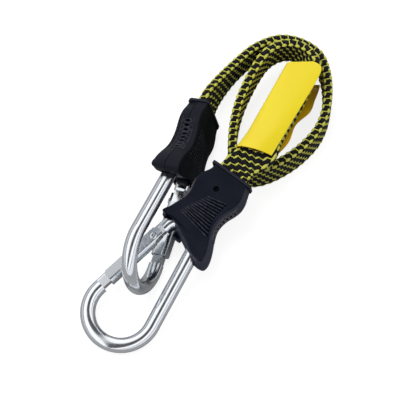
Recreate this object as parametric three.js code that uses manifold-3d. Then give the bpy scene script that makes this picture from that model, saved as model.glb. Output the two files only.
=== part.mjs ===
// Flat bungee cord with a moulded handle and a sprung snap hook at each end.
// Millimetres, +Z up, lying on a surface at z = 0. The origin is under the middle of the two
// linked ends. The front end lies face up, the rear end stands on the edges of its handle, and
// their hooks are clipped through each other.

import * as THREE from "three";
import { mergeVertices } from "three/addons/utils/BufferGeometryUtils.js";
import Module from "manifold-3d";

const wasm = await Module();
wasm.setup();

// Clearances and the one overrun that every cut uses
const seatGap = 0.3;
const overrun = 2;

// Hook rod: round steel bent round a wide bend and, inside the handle, round a small eye
const rodDiameter = 7.8;
const rodRadius = rodDiameter / 2;
const rodSides = 14;
const bendRadius = 17.3;
const eyeRadius = 9.2;
const bendToEye = 48.1;
const bendSteps = 22;
const eyeSteps = 10;

// Both legs lean alike, because each is a tangent to the bend and to the eye
const flare = Math.asin((bendRadius - eyeRadius) / bendToEye);

// Flat tongues at the two ends of the rod, which the gate's cheeks straddle
const tongueThickness = 5.2;
const tongueInnerDepth = 2.0;
const noseStep = 1.5;
const noseTongueEnd = 10.8;
const pinFromBend = 37.9;
const tongueShoulder = 6.7;
const tongueTipRadius = 3.5;

// Gate: a channel folded from sheet, pinned on the stub and closed against the nose
const gateSheet = 1.1;
const gateHalfDepth = 3.5;
const gateCheekGap = 0.4;
const gateNoseGap = 6.6;
const gateTail = 4.8;
const gateEdgeRound = 1.0;
const gateInside = tongueThickness + 2 * gateCheekGap;
const gateWidth = gateInside + 2 * gateSheet;
const gateLength = pinFromBend - gateNoseGap;
const webStart = 1.2;

// Gate rivet
const rivetDiameter = 2.6;
const rivetHeadDiameter = 3.8;
const rivetHeadHeight = 0.7;
const crownShare = 0.6;
const rivetSides = 12;

// Gate spring and the tab of the gate that it pushes on
const springWire = 0.7;
const springDiameter = 4.4;
const springTurns = 6;
const springLength = 9.4;
const springStepsPerTurn = 8;
const springWireSides = 5;
const springStart = tongueTipRadius + seatGap + springWire / 2;
const springTabThickness = gateSheet;
const springTabStart = springStart + springLength + springWire / 2 + seatGap;

// Handle: two half shells whose outline is drawn in shares of the wing's half width and the length
const mouthToBend = 90.1;
const gripLength = 48.6;
const gripHalfWidth = 17.5;
const mouthHalfThickness = 5.6;
const hookHalfThickness = 8.1;
const gripEdgeRound = 2.0;
const chamferShare = 0.3;
const gripDraft = 0.3;
const broadBevel = 0.7;
const broadBevelShares = [0.7, 0.9];
const bevelRoomShare = 0.8;
const gripSamples = 58;
const partingGap = 0.3;
const gripOutlineShares = [
  [0.549, 0.025], [0.594, 0.082], [0.697, 0.154], [0.749, 0.237], [0.709, 0.319],
  [0.646, 0.401], [0.657, 0.484], [0.726, 0.566], [0.817, 0.658], [0.886, 0.733],
  [0.851, 0.774], [0.72, 0.782], [0.514, 0.79], [0.286, 0.821], [0.0, 0.868],
  [-0.286, 0.918], [-0.486, 0.963], [-0.686, 0.992], [-0.914, 1.0], [-1.08, 0.979],
  [-1.12, 0.918], [-1.063, 0.833], [-0.949, 0.741], [-0.811, 0.648], [-0.731, 0.566],
  [-0.72, 0.484], [-0.766, 0.401], [-0.857, 0.319], [-0.909, 0.237], [-0.891, 0.154],
  [-0.823, 0.082], [-0.766, 0.025],
];

// Face of the handle: a raised rim round a shallow panel with fine ribs that fan a little
const panelDepth = 0.45;
const panelSamples = 36;
const panelOutlineShares = [
  [0.3, 0.172], [0.47, 0.19], [0.53, 0.25], [0.49, 0.32], [0.44, 0.4], [0.45, 0.485],
  [0.5, 0.56], [0.56, 0.625], [0.53, 0.68], [0.25, 0.7], [-0.15, 0.715],
  [-0.5, 0.73], [-0.7, 0.735], [-0.73, 0.69], [-0.61, 0.63], [-0.54, 0.56],
  [-0.52, 0.485], [-0.56, 0.4], [-0.65, 0.32], [-0.69, 0.24], [-0.62, 0.18],
  [-0.4, 0.17], [-0.05, 0.168],
];
const ribCount = 13;
const ribWidth = 0.75;
const ribPitch = 1.5;
const ribFirst = 14.6;
const ribHalfLength = 8.2;
const ribFanDegrees = 14;
const faceHoleDiameter = 2.8;

// Waist grip: short slots in the hollow of both side walls
const slotCount = 8;
const slotWidth = 1.1;
const slotPitch = 2.3;
const slotDepth = 0.55;
const slotHalfHeight = 2.3;
const slotFirst = 15.2;

// Space that the rod's stub leaves the handle through, and the lug beside it, both measured
// from the hook end's edge where it passes them
const [, pocketEdgeShare] = gripOutlineShares[12];
const [, lugEdgeShare] = gripOutlineShares[13];
const pocketEdge = pocketEdgeShare * gripLength;
const lugEdge = lugEdgeShare * gripLength;
const pocketInner = 4.8;
const pocketOuter = 12.9;
const pocketDepth = 7.2;
const pocketTop = 4.7;
const pocketBottom = 5.6;
const lugInner = -0.5;
const lugOuter = 4.2;
const lugReach = 3.6;
const lugBottom = 6.2;
const lugTop = 0.6;

// Posts that line the shells up
const postRadius = 1.2;
const postHeight = 2.4;
const postSides = 8;
const postPlaceShares = [[0.64, 0.226], [-0.795, 0.226], [-0.94, 0.88]];

// Band: a woven sleeve over a flat rubber core
const bandWidth = 17;
const bandThickness = 4.5;
const bandCorner = 1.6;
const sleeveWall = 0.8;
const bandOffset = -1.6;
const bandEnd = 23.4;
const bandSteps = 80;
const sleeveToCore = 0.3;
const coreCorner = 0.5;
const coreShort = 0.5;
const bandStraight = [bandEnd, 12, 2, -7];

// Route of the band between its straight ends, from the rear handle to the front one: places of
// its middle line, and how far its width has turned from upright towards lying flat, in degrees
const bandRoute = [
  [25.2, 78.6, 12.8, 10], [31.7, 89.2, 10.1, 3], [38.4, 97.5, 9.1, 0],
  [44.9, 103.8, 8.9, 0], [52.5, 108.3, 8.9, 0], [60.7, 110.6, 8.9, 0],
  [69.0, 109.3, 8.9, 0], [76.0, 105.6, 8.9, 0], [81.6, 99.6, 8.9, 0],
  [84.6, 89.4, 8.9, 0], [85.2, 78.8, 8.9, 0], [84.2, 69.0, 8.9, 0],
  [81.9, 60.5, 8.9, 0], [77.9, 52.6, 8.9, 0], [72.5, 46.0, 8.9, 0],
  [66.1, 40.0, 8.9, 0], [59.2, 35.2, 8.9, 0], [52.4, 31.7, 8.9, 0],
  [45.6, 29.9, 8.9, 0], [39.6, 31.0, 8.9, 0], [35.7, 35.6, 8.9, 0],
  [34.2, 43.2, 8.9, 0], [34.3, 53.1, 9.0, 0], [35.9, 63.2, 9.9, 0],
  [38.6, 72.1, 11.8, 0], [42.4, 80.5, 14.1, 0], [46.9, 88.6, 16.5, 0],
  [51.8, 95.4, 18.3, 0], [57.6, 100.0, 18.5, 0], [63.9, 101.7, 18.5, 0],
  [69.8, 100.4, 18.5, 2], [74.2, 96.4, 18.5, 8], [76.2, 90.9, 18.7, 20],
  [73.8, 85.3, 19.4, 38], [69.2, 78.4, 20.8, 58], [64.8, 69.7, 22.4, 74],
  [60.1, 60.3, 24.2, 84], [55.3, 50.8, 26.1, 89], [51.0, 41.5, 27.6, 90],
  [47.8, 32.8, 28.2, 88],
];

// Collar in the mouth of the handle
const collarWall = 1.1;
const collarFit = 0.35;
const collarFlange = 1.4;
const collarDepth = 5.6;
const collarHalfWidth = 12.2;
const collarHalfHeight = 6.1;
const collarCorner = 2.4;

// Clamp: a steel strip folded round the rod's eye, with both tails on the band's end
const clampSheet = 0.9;
const clampHalfWidth = 7.5;
const clampStart = 6.6;
const clampTailEnd = 24.4;
const clampRise = 4.0;
const strapHalfWidth = 2.75;
const strapArcSteps = 8;
const strapSlack = 0.15;

// Pin through the clamp and the band
const bandPinDiameter = 3.0;
const bandPinX = -0.3;
const bandPinY = 11.5;
const bandPinHalfLength = 5.0;
const bandPinSides = 12;

// Tag: one sheet folded round the band near the front handle. Each row gives the place of the
// fold, the free edge of the front panel, how far the sheet goes down, and how far it comes back.
const tagSheet = 0.5;
const tagFoldRadius = 3.4;
const tagAcross = 18;
const tagRows = [
  { fold: [62.9, 87.9, 28.7], free: [77.0, 88.3, 28.7], down: 24.4, back: 18.8 },
  { fold: [61.6, 85.3, 28.7], free: [80.0, 86.3, 28.7], down: 23.7, back: 19.9 },
  { fold: [60.2, 82.6, 28.7], free: [81.0, 83.1, 28.7], down: 23.0, back: 20.4 },
  { fold: [57.6, 77.4, 28.7], free: [78.4, 76.7, 28.7], down: 20.4, back: 21.0 },
  { fold: [52.3, 66.9, 28.8], free: [72.6, 65.7, 28.8], down: 14.2, back: 23.0 },
  { fold: [47.0, 56.3, 29.2], free: [66.7, 55.0, 29.2], down: 10.0, back: 20.3 },
  { fold: [41.7, 45.4, 30.6], free: [60.4, 42.7, 30.6], down: 8.7, back: 21.2 },
  { fold: [35.8, 35.7, 32.1], free: [53.7, 29.8, 32.1], down: 8.3, back: 17.2 },
];

// Where each end lies: the centre of its bend, and the turns of its axis
const frontBend = { x: -22.7, y: -47.4, z: 8.6 };
const frontHeadingDegrees = -128.6;
const frontDipDegrees = 11.4;
const frontRollDegrees = 3.6;
const rearBend = { x: -11.1, y: -20.5, z: 20.5 };
const rearHeadingDegrees = -109.9;
const rearDipDegrees = -4.3;
const rearLeanDegrees = 16.4;

// Materials
const zinc = { color: 0xc9cdd2, roughness: 0.28, metalness: 1.0 };
const springSteel = { color: 0x8d9299, roughness: 0.4, metalness: 1.0 };
const blackNylon = { color: 0x1d2127, roughness: 0.55, metalness: 0.0 };
const blackRubber = { color: 0x15171a, roughness: 0.8, metalness: 0.0 };
const wovenYarn = { color: 0x3a3b20, roughness: 0.9, metalness: 0.0 };
const latex = { color: 0xb9a98a, roughness: 0.75, metalness: 0.0 };
const yellowSheet = { color: 0xf2df1c, roughness: 0.5, metalness: 0.0 };

// A closed solid from rings of points, each ring with as many points as the last
function loft(rings) {
  const count = rings[0].length;
  const points = rings.flat();
  const faces = [];
  for (let r = 0; r + 1 < rings.length; r++) {
    for (let i = 0; i < count; i++) {
      const j = (i + 1) % count;
      const a = r * count + i;
      const b = r * count + j;
      faces.push([a, b, b + count], [a, b + count, a + count]);
    }
  }
  const last = (rings.length - 1) * count;
  for (const f of THREE.ShapeUtils.triangulateShape(flattened(rings[0]), [])) {
    faces.push([f[2], f[1], f[0]]);
  }
  for (const f of THREE.ShapeUtils.triangulateShape(flattened(rings[rings.length - 1]), [])) {
    faces.push([last + f[0], last + f[1], last + f[2]]);
  }
  return facesToGeometry(points, faces);
}

// A ring of points in space as points of its own plane, anticlockwise
function flattened(ring) {
  const normal = new THREE.Vector3();
  ring.forEach((p, i) => {
    const q = ring[(i + 1) % ring.length];
    normal.add(new THREE.Vector3().crossVectors(p, q));
  });
  normal.normalize();
  const along = new THREE.Vector3().subVectors(ring[1], ring[0]).normalize();
  const across = new THREE.Vector3().crossVectors(normal, along);
  return ring.map((p) => new THREE.Vector2(p.dot(along), p.dot(across)));
}

function facesToGeometry(points, faces) {
  const geometry = new THREE.BufferGeometry();
  const position = new Float32Array(points.length * 3);
  points.forEach((p, i) => p.toArray(position, i * 3));
  geometry.setAttribute("position", new THREE.BufferAttribute(position, 3));
  geometry.setIndex(faces.flat());
  return geometry;
}

// A geometry as a manifold-3d solid, and the way back
function solidOf(geometry) {
  const bare = geometry.clone();
  bare.deleteAttribute("normal");
  bare.deleteAttribute("uv");
  const merged = mergeVertices(bare, 1e-4);
  return new wasm.Manifold(
    new wasm.Mesh({
      numProp: 3,
      vertProperties: new Float32Array(merged.attributes.position.array),
      triVerts: new Uint32Array(merged.index.array),
    }),
  );
}

function geometryOf(solid) {
  const mesh = solid.getMesh();
  const geometry = new THREE.BufferGeometry();
  const position = new Float32Array(mesh.numVert * 3);
  for (let i = 0; i < mesh.numVert; i++) {
    const from = i * mesh.numProp;
    position.set(mesh.vertProperties.subarray(from, from + 3), i * 3);
  }
  geometry.setAttribute("position", new THREE.BufferAttribute(position, 3));
  geometry.setIndex(new THREE.BufferAttribute(new Uint32Array(mesh.triVerts), 1));
  return geometry;
}

// A box between two corners, turned about its own middle if asked
function boxBetween(low, high, turn = 0) {
  const size = high.map((v, i) => v - low[i]);
  const box = new THREE.BoxGeometry(...size);
  box.rotateZ(turn);
  box.translate(...low.map((v, i) => v + size[i] / 2));
  return solidOf(box);
}

// A round bar along Z
function barZ(radius, fromZ, toZ, x, y, sides) {
  const bar = new THREE.CylinderGeometry(radius, radius, toZ - fromZ, sides);
  bar.rotateX(Math.PI / 2);
  bar.translate(x, y, (fromZ + toZ) / 2);
  return solidOf(bar);
}

// A rectangle with round corners, extruded along +Y from one height to another
function roundedBlockY(halfX, halfZ, corner, fromY, toY, x) {
  const shape = new THREE.Shape();
  const cx = halfX - corner;
  const cz = halfZ - corner;
  shape.absarc(cx, cz, corner, 0, Math.PI / 2);
  shape.absarc(-cx, cz, corner, Math.PI / 2, Math.PI);
  shape.absarc(-cx, -cz, corner, Math.PI, 1.5 * Math.PI);
  shape.absarc(cx, -cz, corner, 1.5 * Math.PI, 2 * Math.PI);
  const block = new THREE.ExtrudeGeometry(shape, {
    depth: toY - fromY,
    bevelEnabled: false,
    curveSegments: 3,
  });
  block.rotateX(Math.PI / 2);
  block.translate(x, toY, 0);
  return solidOf(block);
}

function named(name, geometry, look) {
  const material = new THREE.MeshStandardMaterial(look);
  const shown = geometry.index ? geometry.toNonIndexed() : geometry;
  shown.computeVertexNormals();
  const mesh = new THREE.Mesh(shown, material);
  mesh.name = name;
  return mesh;
}

// Middle line of the rod, from the nose round the bend, down the plain leg and round the eye.
// X runs towards the gate, Y along the axis away from the handle, Z out of the face.
function rodLine() {
  const line = [];
  const alongGate = new THREE.Vector2(Math.sin(flare), Math.cos(flare));
  const outOfGate = new THREE.Vector2(Math.cos(flare), -Math.sin(flare));
  const gateTangent = outOfGate.clone().multiplyScalar(bendRadius);
  line.push(gateTangent.clone().addScaledVector(alongGate, -noseTongueEnd));
  const bendStart = -flare;
  const bendSweep = Math.PI + 2 * flare;
  for (let i = 0; i <= bendSteps; i++) {
    const a = bendStart + (bendSweep * i) / bendSteps;
    line.push(new THREE.Vector2(Math.cos(a), Math.sin(a)).multiplyScalar(bendRadius));
  }
  const eyeStart = Math.PI + flare;
  const eyeSweep = Math.PI - 2 * flare;
  for (let i = 0; i <= eyeSteps; i++) {
    const a = eyeStart + (eyeSweep * i) / eyeSteps;
    line.push(
      new THREE.Vector2(Math.cos(a), Math.sin(a)).multiplyScalar(eyeRadius)
        .add(new THREE.Vector2(0, -bendToEye)),
    );
  }
  const pin = gateTangent.clone().addScaledVector(alongGate, -pinFromBend);
  line.push(pin.clone().addScaledVector(alongGate, tongueTipRadius));
  return { line, pin };
}

// A round bar along a flat line of points
function barAlong(line, radius, sides) {
  const up = new THREE.Vector3(0, 0, 1);
  const rings = line.map((p, i) => {
    const before = line[Math.max(i - 1, 0)];
    const after = line[Math.min(i + 1, line.length - 1)];
    const into = p.clone().sub(before).normalize();
    const out = after.clone().sub(p).normalize();
    const along = into.add(out).normalize();
    const side = new THREE.Vector3(along.y, -along.x, 0);
    const ring = [];
    for (let k = 0; k < sides; k++) {
      const a = (2 * Math.PI * (k + 0.5)) / sides;
      ring.push(
        new THREE.Vector3(p.x, p.y, 0)
          .addScaledVector(side, radius * Math.cos(a))
          .addScaledVector(up, radius * Math.sin(a)),
      );
    }
    return ring;
  });
  return loft(rings.map((ring) => ring.reverse()));
}

const { line: rodPoints, pin: pinPlace } = rodLine();

// A piece drawn in the gate's frame (X out of the hook, Y from the pin to the nose), placed
function fromGateFrame(geometry) {
  geometry.rotateZ(-flare);
  geometry.translate(pinPlace.x, pinPlace.y, 0);
  return geometry;
}

function gateFrameBox(low, high) {
  return solidOf(fromGateFrame(geometryOf(boxBetween(low, high))));
}

// The rod, flattened at both ends where the gate's cheeks straddle it
function hookRod() {
  let rod = solidOf(barAlong(rodPoints, rodRadius, rodSides));
  const wide = rodRadius + overrun;
  const half = tongueThickness / 2;
  const noseFrom = pinFromBend - noseTongueEnd - overrun;
  const noseTo = pinFromBend - noseStep;
  const spans = [[noseFrom, noseTo], [-tongueShoulder, tongueTipRadius + overrun]];
  for (const [from, to] of spans) {
    rod = rod.subtract(gateFrameBox([-wide, from, half], [wide, to, wide]));
    rod = rod.subtract(gateFrameBox([-wide, from, -wide], [wide, to, -half]));
    rod = rod.subtract(gateFrameBox([-wide, from, -wide], [-tongueInnerDepth, to, wide]));
  }
  const outer = gateHalfDepth;
  rod = rod.subtract(
    gateFrameBox([outer, -tongueShoulder, -wide], [wide, tongueTipRadius + overrun, wide]),
  );
  const square = gateFrameBox([-wide, 0, -wide], [wide, tongueTipRadius + overrun, wide]);
  const round = solidOf(
    fromGateFrame(geometryOf(barZ(tongueTipRadius, -wide, wide, 0, 0, 2 * rodSides))),
  );
  rod = rod.subtract(square.subtract(round));
  const hole = barZ(rivetDiameter / 2 + seatGap, -wide, wide, 0, 0, rivetSides);
  return rod.subtract(solidOf(fromGateFrame(geometryOf(hole))));
}

// The gate: channel open outwards, with a tab for the spring and no web behind the pin
function gateSolid() {
  const w = gateWidth / 2;
  const inner = gateInside / 2;
  const d = gateHalfDepth;
  const c = gateEdgeRound;
  const cheekRound = gateSheet / 3;
  const shape = new THREE.Shape([
    new THREE.Vector2(-d, -w + c),
    new THREE.Vector2(-d + c / 3, -w + c / 3),
    new THREE.Vector2(-d + c, -w),
    new THREE.Vector2(d - cheekRound, -w),
    new THREE.Vector2(d, -w + cheekRound),
    new THREE.Vector2(d, -inner),
    new THREE.Vector2(-d + gateSheet, -inner),
    new THREE.Vector2(-d + gateSheet, inner),
    new THREE.Vector2(d, inner),
    new THREE.Vector2(d, w - cheekRound),
    new THREE.Vector2(d - cheekRound, w),
    new THREE.Vector2(-d + c, w),
    new THREE.Vector2(-d + c / 3, w - c / 3),
    new THREE.Vector2(-d, w - c),
  ]);
  const channel = new THREE.ExtrudeGeometry(shape, {
    depth: gateLength + gateTail,
    bevelEnabled: false,
  });
  channel.rotateX(Math.PI / 2);
  channel.translate(0, gateLength, 0);
  let gate = solidOf(channel);
  const webFrom = -gateTail - overrun;
  gate = gate.subtract(
    boxBetween([-d - overrun, webFrom, -inner], [-d + gateSheet + c, webStart, inner]),
  );
  const tab = boxBetween(
    [-d + gateSheet / 2, springTabStart, -inner - gateSheet / 2],
    [springDiameter / 2, springTabStart + springTabThickness, inner + gateSheet / 2],
  );
  gate = gate.add(tab);
  const bevel = (x, y) => {
    const cut = new THREE.BoxGeometry(c * 2, c * 2, gateWidth + 2 * overrun);
    cut.rotateZ(Math.PI / 4);
    cut.translate(x, y, 0);
    return solidOf(cut);
  };
  gate = gate.subtract(bevel(d, -gateTail)).subtract(bevel(-d, -gateTail));
  gate = gate.subtract(bevel(d, gateLength));
  return gate.subtract(
    barZ(rivetDiameter / 2 + seatGap, -w - overrun, w + overrun, 0, 0, rivetSides),
  );
}

// The rivet: a shank with two low domed heads, turned about Z
function rivetGeometry() {
  const shank = rivetDiameter / 2;
  const head = rivetHeadDiameter / 2;
  const seat = gateWidth / 2 + seatGap;
  const top = seat + rivetHeadHeight;
  const profile = [
    [0, -top], [head * crownShare, -top], [head, -seat - rivetHeadHeight / 3], [head, -seat],
    [shank, -seat], [shank, seat], [head, seat], [head, seat + rivetHeadHeight / 3],
    [head * crownShare, top], [0, top],
  ].map(([x, y]) => new THREE.Vector2(x, y));
  const rivet = new THREE.LatheGeometry(profile, rivetSides);
  rivet.rotateX(Math.PI / 2);
  return rivet;
}

// The gate spring: one wire wound along Y between the tongue and the tab
function springGeometry() {
  const r = (springDiameter - springWire) / 2;
  const steps = springTurns * springStepsPerTurn;
  const rise = springLength / (2 * Math.PI * springTurns);
  const rings = [];
  for (let i = 0; i <= steps; i++) {
    const a = (2 * Math.PI * springTurns * i) / steps;
    const out = new THREE.Vector3(Math.cos(a), 0, Math.sin(a));
    const along = new THREE.Vector3(-Math.sin(a) * r, rise, Math.cos(a) * r).normalize();
    const over = new THREE.Vector3().crossVectors(along, out);
    const centre = out.clone().multiplyScalar(r);
    centre.y = springStart + (springLength * i) / steps;
    const ring = [];
    for (let k = 0; k < springWireSides; k++) {
      const b = (2 * Math.PI * k) / springWireSides;
      ring.push(
        centre.clone()
          .addScaledVector(out, (springWire / 2) * Math.cos(b))
          .addScaledVector(over, (springWire / 2) * Math.sin(b)),
      );
    }
    rings.push(ring);
  }
  const spring = loft(rings);
  spring.translate(seatGap, 0, 0);
  return spring;
}

// Outline of the handle as points with their outward normals, Y measured from the mouth
function gripOutline() {
  const corners = gripOutlineShares.map(
    ([x, y]) => new THREE.Vector2(x * gripHalfWidth, y * gripLength),
  );
  const curve = new THREE.SplineCurve(corners);
  const points = curve.getSpacedPoints(gripSamples - 1);
  return points.map((p, i) => {
    const t = curve.getTangentAt(i / (gripSamples - 1));
    const atMouth = i === 0 || i === gripSamples - 1;
    const normal = atMouth ? new THREE.Vector2(Math.sign(p.x), 0) : new THREE.Vector2(t.y, -t.x);
    return { p, normal };
  });
}

const outline = gripOutline();
const halfThicknessAt = (y) =>
  mouthHalfThickness + ((hookHalfThickness - mouthHalfThickness) * y) / gripLength;

// The hook end has a broader bevel than the sides
function bevelShare({ p, normal }) {
  const facesHook = Math.max(normal.y, 0);
  const nearHook = THREE.MathUtils.smoothstep(p.y / gripLength, ...broadBevelShares);
  return 1 + broadBevel * facesHook * nearHook;
}

// Radius of the largest circle inside the outline that touches it at one of its points
function roomInside(at) {
  let room = gripHalfWidth;
  for (const other of outline) {
    const d = new THREE.Vector2().subVectors(other.p, at.p);
    const depth = -d.dot(at.normal);
    if (other !== at && depth > 0) room = Math.min(room, d.lengthSq() / (2 * depth));
  }
  return room;
}

// One ring of the handle: the outline drawn in by a distance, at a height under the face
function gripRing(inset, heightOf) {
  return outline.map((o) => {
    const by = Math.min(inset * bevelShare(o), bevelRoomShare * roomInside(o));
    const x = o.p.x - o.normal.x * by;
    const y = o.p.y - o.normal.y * by;
    return new THREE.Vector3(x, y, heightOf(y));
  });
}

// A half shell as a plain block, above the parting plane
function gripBlock() {
  const round = gripEdgeRound;
  return solidOf(
    loft([
      gripRing(0, () => partingGap / 2),
      gripRing(gripDraft, (y) => halfThicknessAt(y) - round),
      gripRing(gripDraft + round * chamferShare, (y) => halfThicknessAt(y) - round * chamferShare),
      gripRing(gripDraft + round, (y) => halfThicknessAt(y)),
    ]),
  );
}

// What is cut from the face: the panel inside the rim, less the ribs that stay
function facePanel() {
  const curve = new THREE.SplineCurve(
    [...panelOutlineShares, panelOutlineShares[0]].map(
      ([x, y]) => new THREE.Vector2(x * gripHalfWidth, y * gripLength),
    ),
  );
  const ring = (lift) =>
    curve.getSpacedPoints(panelSamples).slice(1)
      .map((p) => new THREE.Vector3(p.x, p.y, halfThicknessAt(p.y) + lift));
  const panel = solidOf(loft([ring(-panelDepth), ring(overrun)]));
  let cut = panel;
  for (let i = 0; i < ribCount; i++) {
    const y = ribFirst + i * ribPitch;
    const turn = THREE.MathUtils.degToRad((-ribFanDegrees * i) / (ribCount - 1));
    const rib = boxBetween(
      [bandOffset / 2 - ribHalfLength, y - ribWidth / 2, 0],
      [bandOffset / 2 + ribHalfLength, y + ribWidth / 2, hookHalfThickness + 2 * overrun],
      -turn,
    );
    cut = cut.subtract(rib);
  }
  return cut;
}

// Short slots along the hollow of both side walls, square to the outline
function waistSlots() {
  const cuts = [];
  for (const side of [1, -1]) {
    for (let i = 0; i < slotCount; i++) {
      const y = slotFirst + i * slotPitch;
      const o = outline
        .filter((q) => Math.sign(q.p.x) === side)
        .reduce((best, q) => (Math.abs(q.p.y - y) < Math.abs(best.p.y - y) ? q : best));
      const half = slotDepth + overrun;
      const slot = new THREE.BoxGeometry(2 * half, slotWidth, 2 * slotHalfHeight);
      slot.translate(half - slotDepth, 0, 0);
      slot.rotateZ(Math.atan2(o.normal.y, o.normal.x));
      slot.translate(o.p.x, o.p.y, 0);
      cuts.push(solidOf(slot));
    }
  }
  return cuts.reduce((a, b) => a.add(b));
}

const clampInner = bandThickness / 2 + seatGap;
const clampOuter = clampInner + clampSheet;
const strapInner = rodRadius + seatGap;
const strapOuter = strapInner + clampSheet;
const eyeApex = mouthToBend - bendToEye - eyeRadius;
const strapCentre =
  eyeApex + eyeRadius - Math.sqrt(eyeRadius ** 2 - strapHalfWidth ** 2) + strapSlack;

// The hollow of the handle, in its own frame with Y from the mouth
function gripHollow() {
  const channel = barAlong(rodPoints, rodRadius + seatGap, rodSides);
  channel.translate(0, mouthToBend, 0);
  const roomX = bandWidth / 2 + collarFit + seatGap;
  const roomZ = clampOuter + seatGap;
  const mouthX = bandWidth / 2 + collarFit + collarWall + seatGap;
  const mouthZ = bandThickness / 2 + collarFit + collarWall + seatGap;
  const mouthCorner = bandCorner + collarWall + seatGap;
  const strapRoom = strapOuter + seatGap;
  return [
    solidOf(channel),
    boxBetween(
      [bandOffset - roomX, 0, -roomZ],
      [bandOffset + roomX, clampTailEnd + seatGap, roomZ],
    ),
    roundedBlockY(mouthX, mouthZ, mouthCorner, -overrun, clampStart - seatGap, bandOffset),
    boxBetween(
      [-strapHalfWidth - seatGap, clampTailEnd - clampRise, -strapRoom],
      [strapHalfWidth + seatGap, strapCentre + strapOuter + seatGap, strapRoom],
    ),
    barZ(
      bandPinDiameter / 2 + seatGap, -bandPinHalfLength - seatGap,
      bandPinHalfLength + seatGap, bandPinX, bandPinY, bandPinSides,
    ),
  ].reduce((a, b) => a.add(b));
}

// The pocket round the stub, which is deeper towards the underside
function stubPocket() {
  return boxBetween(
    [pocketInner, pocketEdge - pocketDepth, -pocketBottom],
    [pocketOuter, pocketEdge + lugReach + overrun, pocketTop],
  );
}

const hollow = gripHollow();
const slots = waistSlots();
const pocket = stubPocket();
const block = gripBlock().subtract(facePanel());
const flip = (solid) => {
  const turned = geometryOf(solid);
  turned.scale(1, 1, -1);
  const index = turned.index.array;
  for (let i = 0; i < index.length; i += 3) {
    [index[i + 1], index[i + 2]] = [index[i + 2], index[i + 1]];
  }
  return solidOf(turned);
};
const postPlaces = postPlaceShares.map(([x, y]) => [x * gripHalfWidth, y * gripLength]);

// The shell with the face hole and the sockets
function faceShell() {
  let shell = block.subtract(hollow).subtract(slots).subtract(pocket);
  shell = shell.subtract(
    barZ(
      faceHoleDiameter / 2, bandPinHalfLength, hookHalfThickness + overrun,
      bandPinX, bandPinY, bandPinSides,
    ),
  );
  for (const [x, y] of postPlaces) {
    const depth = partingGap / 2 + postHeight + seatGap;
    shell = shell.subtract(barZ(postRadius + seatGap, -overrun, depth, x, y, postSides));
  }
  return shell;
}

// The shell with the posts and the lug beside the stub
function backShell() {
  const lug = boxBetween(
    [lugInner, lugEdge - overrun, -lugBottom],
    [lugOuter, lugEdge + lugReach, -lugTop],
  );
  let shell = flip(block).add(lug).subtract(hollow).subtract(slots).subtract(pocket);
  for (const [x, y] of postPlaces) {
    shell = shell.add(barZ(postRadius, -partingGap / 2 - overrun, postHeight, x, y, postSides));
  }
  return shell;
}

// The collar: a flange outside the mouth and a short sleeve inside it
function collarSolid() {
  const boreX = bandWidth / 2 + collarFit;
  const boreZ = bandThickness / 2 + collarFit;
  const mouthFace = gripOutlineShares[0][1] * gripLength - seatGap;
  const flangeFrom = mouthFace - collarFlange;
  return roundedBlockY(
    collarHalfWidth, collarHalfHeight, collarCorner, flangeFrom, mouthFace, bandOffset,
  )
    .add(
      roundedBlockY(
        boreX + collarWall, boreZ + collarWall, bandCorner + collarWall,
        flangeFrom, collarDepth, bandOffset,
      ),
    )
    .subtract(
      roundedBlockY(
        boreX, boreZ, bandCorner + collarFit,
        flangeFrom - overrun, collarDepth + overrun, bandOffset,
      ),
    );
}

// The clamp: its side view is a hairpin, open at the tails
function clampSolid() {
  const risen = clampTailEnd + clampRise;
  const outside = [[clampStart, clampOuter], [clampTailEnd, clampOuter], [risen, strapOuter]];
  const inside = [[clampStart, clampInner], [clampTailEnd, clampInner], [risen, strapInner]];
  const arc = (radius) => {
    const points = [];
    for (let i = 0; i <= strapArcSteps; i++) {
      const a = Math.PI / 2 - (Math.PI * i) / strapArcSteps;
      points.push([strapCentre + radius * Math.cos(a), radius * Math.sin(a)]);
    }
    return points;
  };
  const below = (points) => points.map(([y, z]) => [y, -z]).reverse();
  const side = [
    ...outside, ...arc(strapOuter), ...below(outside),
    ...inside.map(([y, z]) => [y, -z]), ...arc(strapInner).reverse(), ...[...inside].reverse(),
  ];
  const shape = new THREE.Shape(side.map(([y, z]) => new THREE.Vector2(y, z)));
  const strip = new THREE.ExtrudeGeometry(shape, {
    depth: 2 * clampHalfWidth,
    bevelEnabled: false,
  });
  // The side view's first axis becomes Y, its second Z, and the depth X
  strip.applyMatrix4(new THREE.Matrix4().set(0, 0, 1, 0, 1, 0, 0, 0, 0, 1, 0, 0, 0, 0, 0, 1));
  strip.translate(bandOffset - clampHalfWidth, 0, 0);
  let clamp = solidOf(strip);
  const wide = clampHalfWidth + overrun - bandOffset;
  const end = strapCentre + strapOuter + overrun;
  const high = strapOuter + overrun;
  clamp = clamp.subtract(boxBetween([strapHalfWidth, clampTailEnd, -high], [wide, end, high]));
  clamp = clamp.subtract(boxBetween([-wide, clampTailEnd, -high], [-strapHalfWidth, end, high]));
  return clamp.subtract(
    barZ(bandPinDiameter / 2 + seatGap, -high, high, bandPinX, bandPinY, bandPinSides),
  );
}

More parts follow.
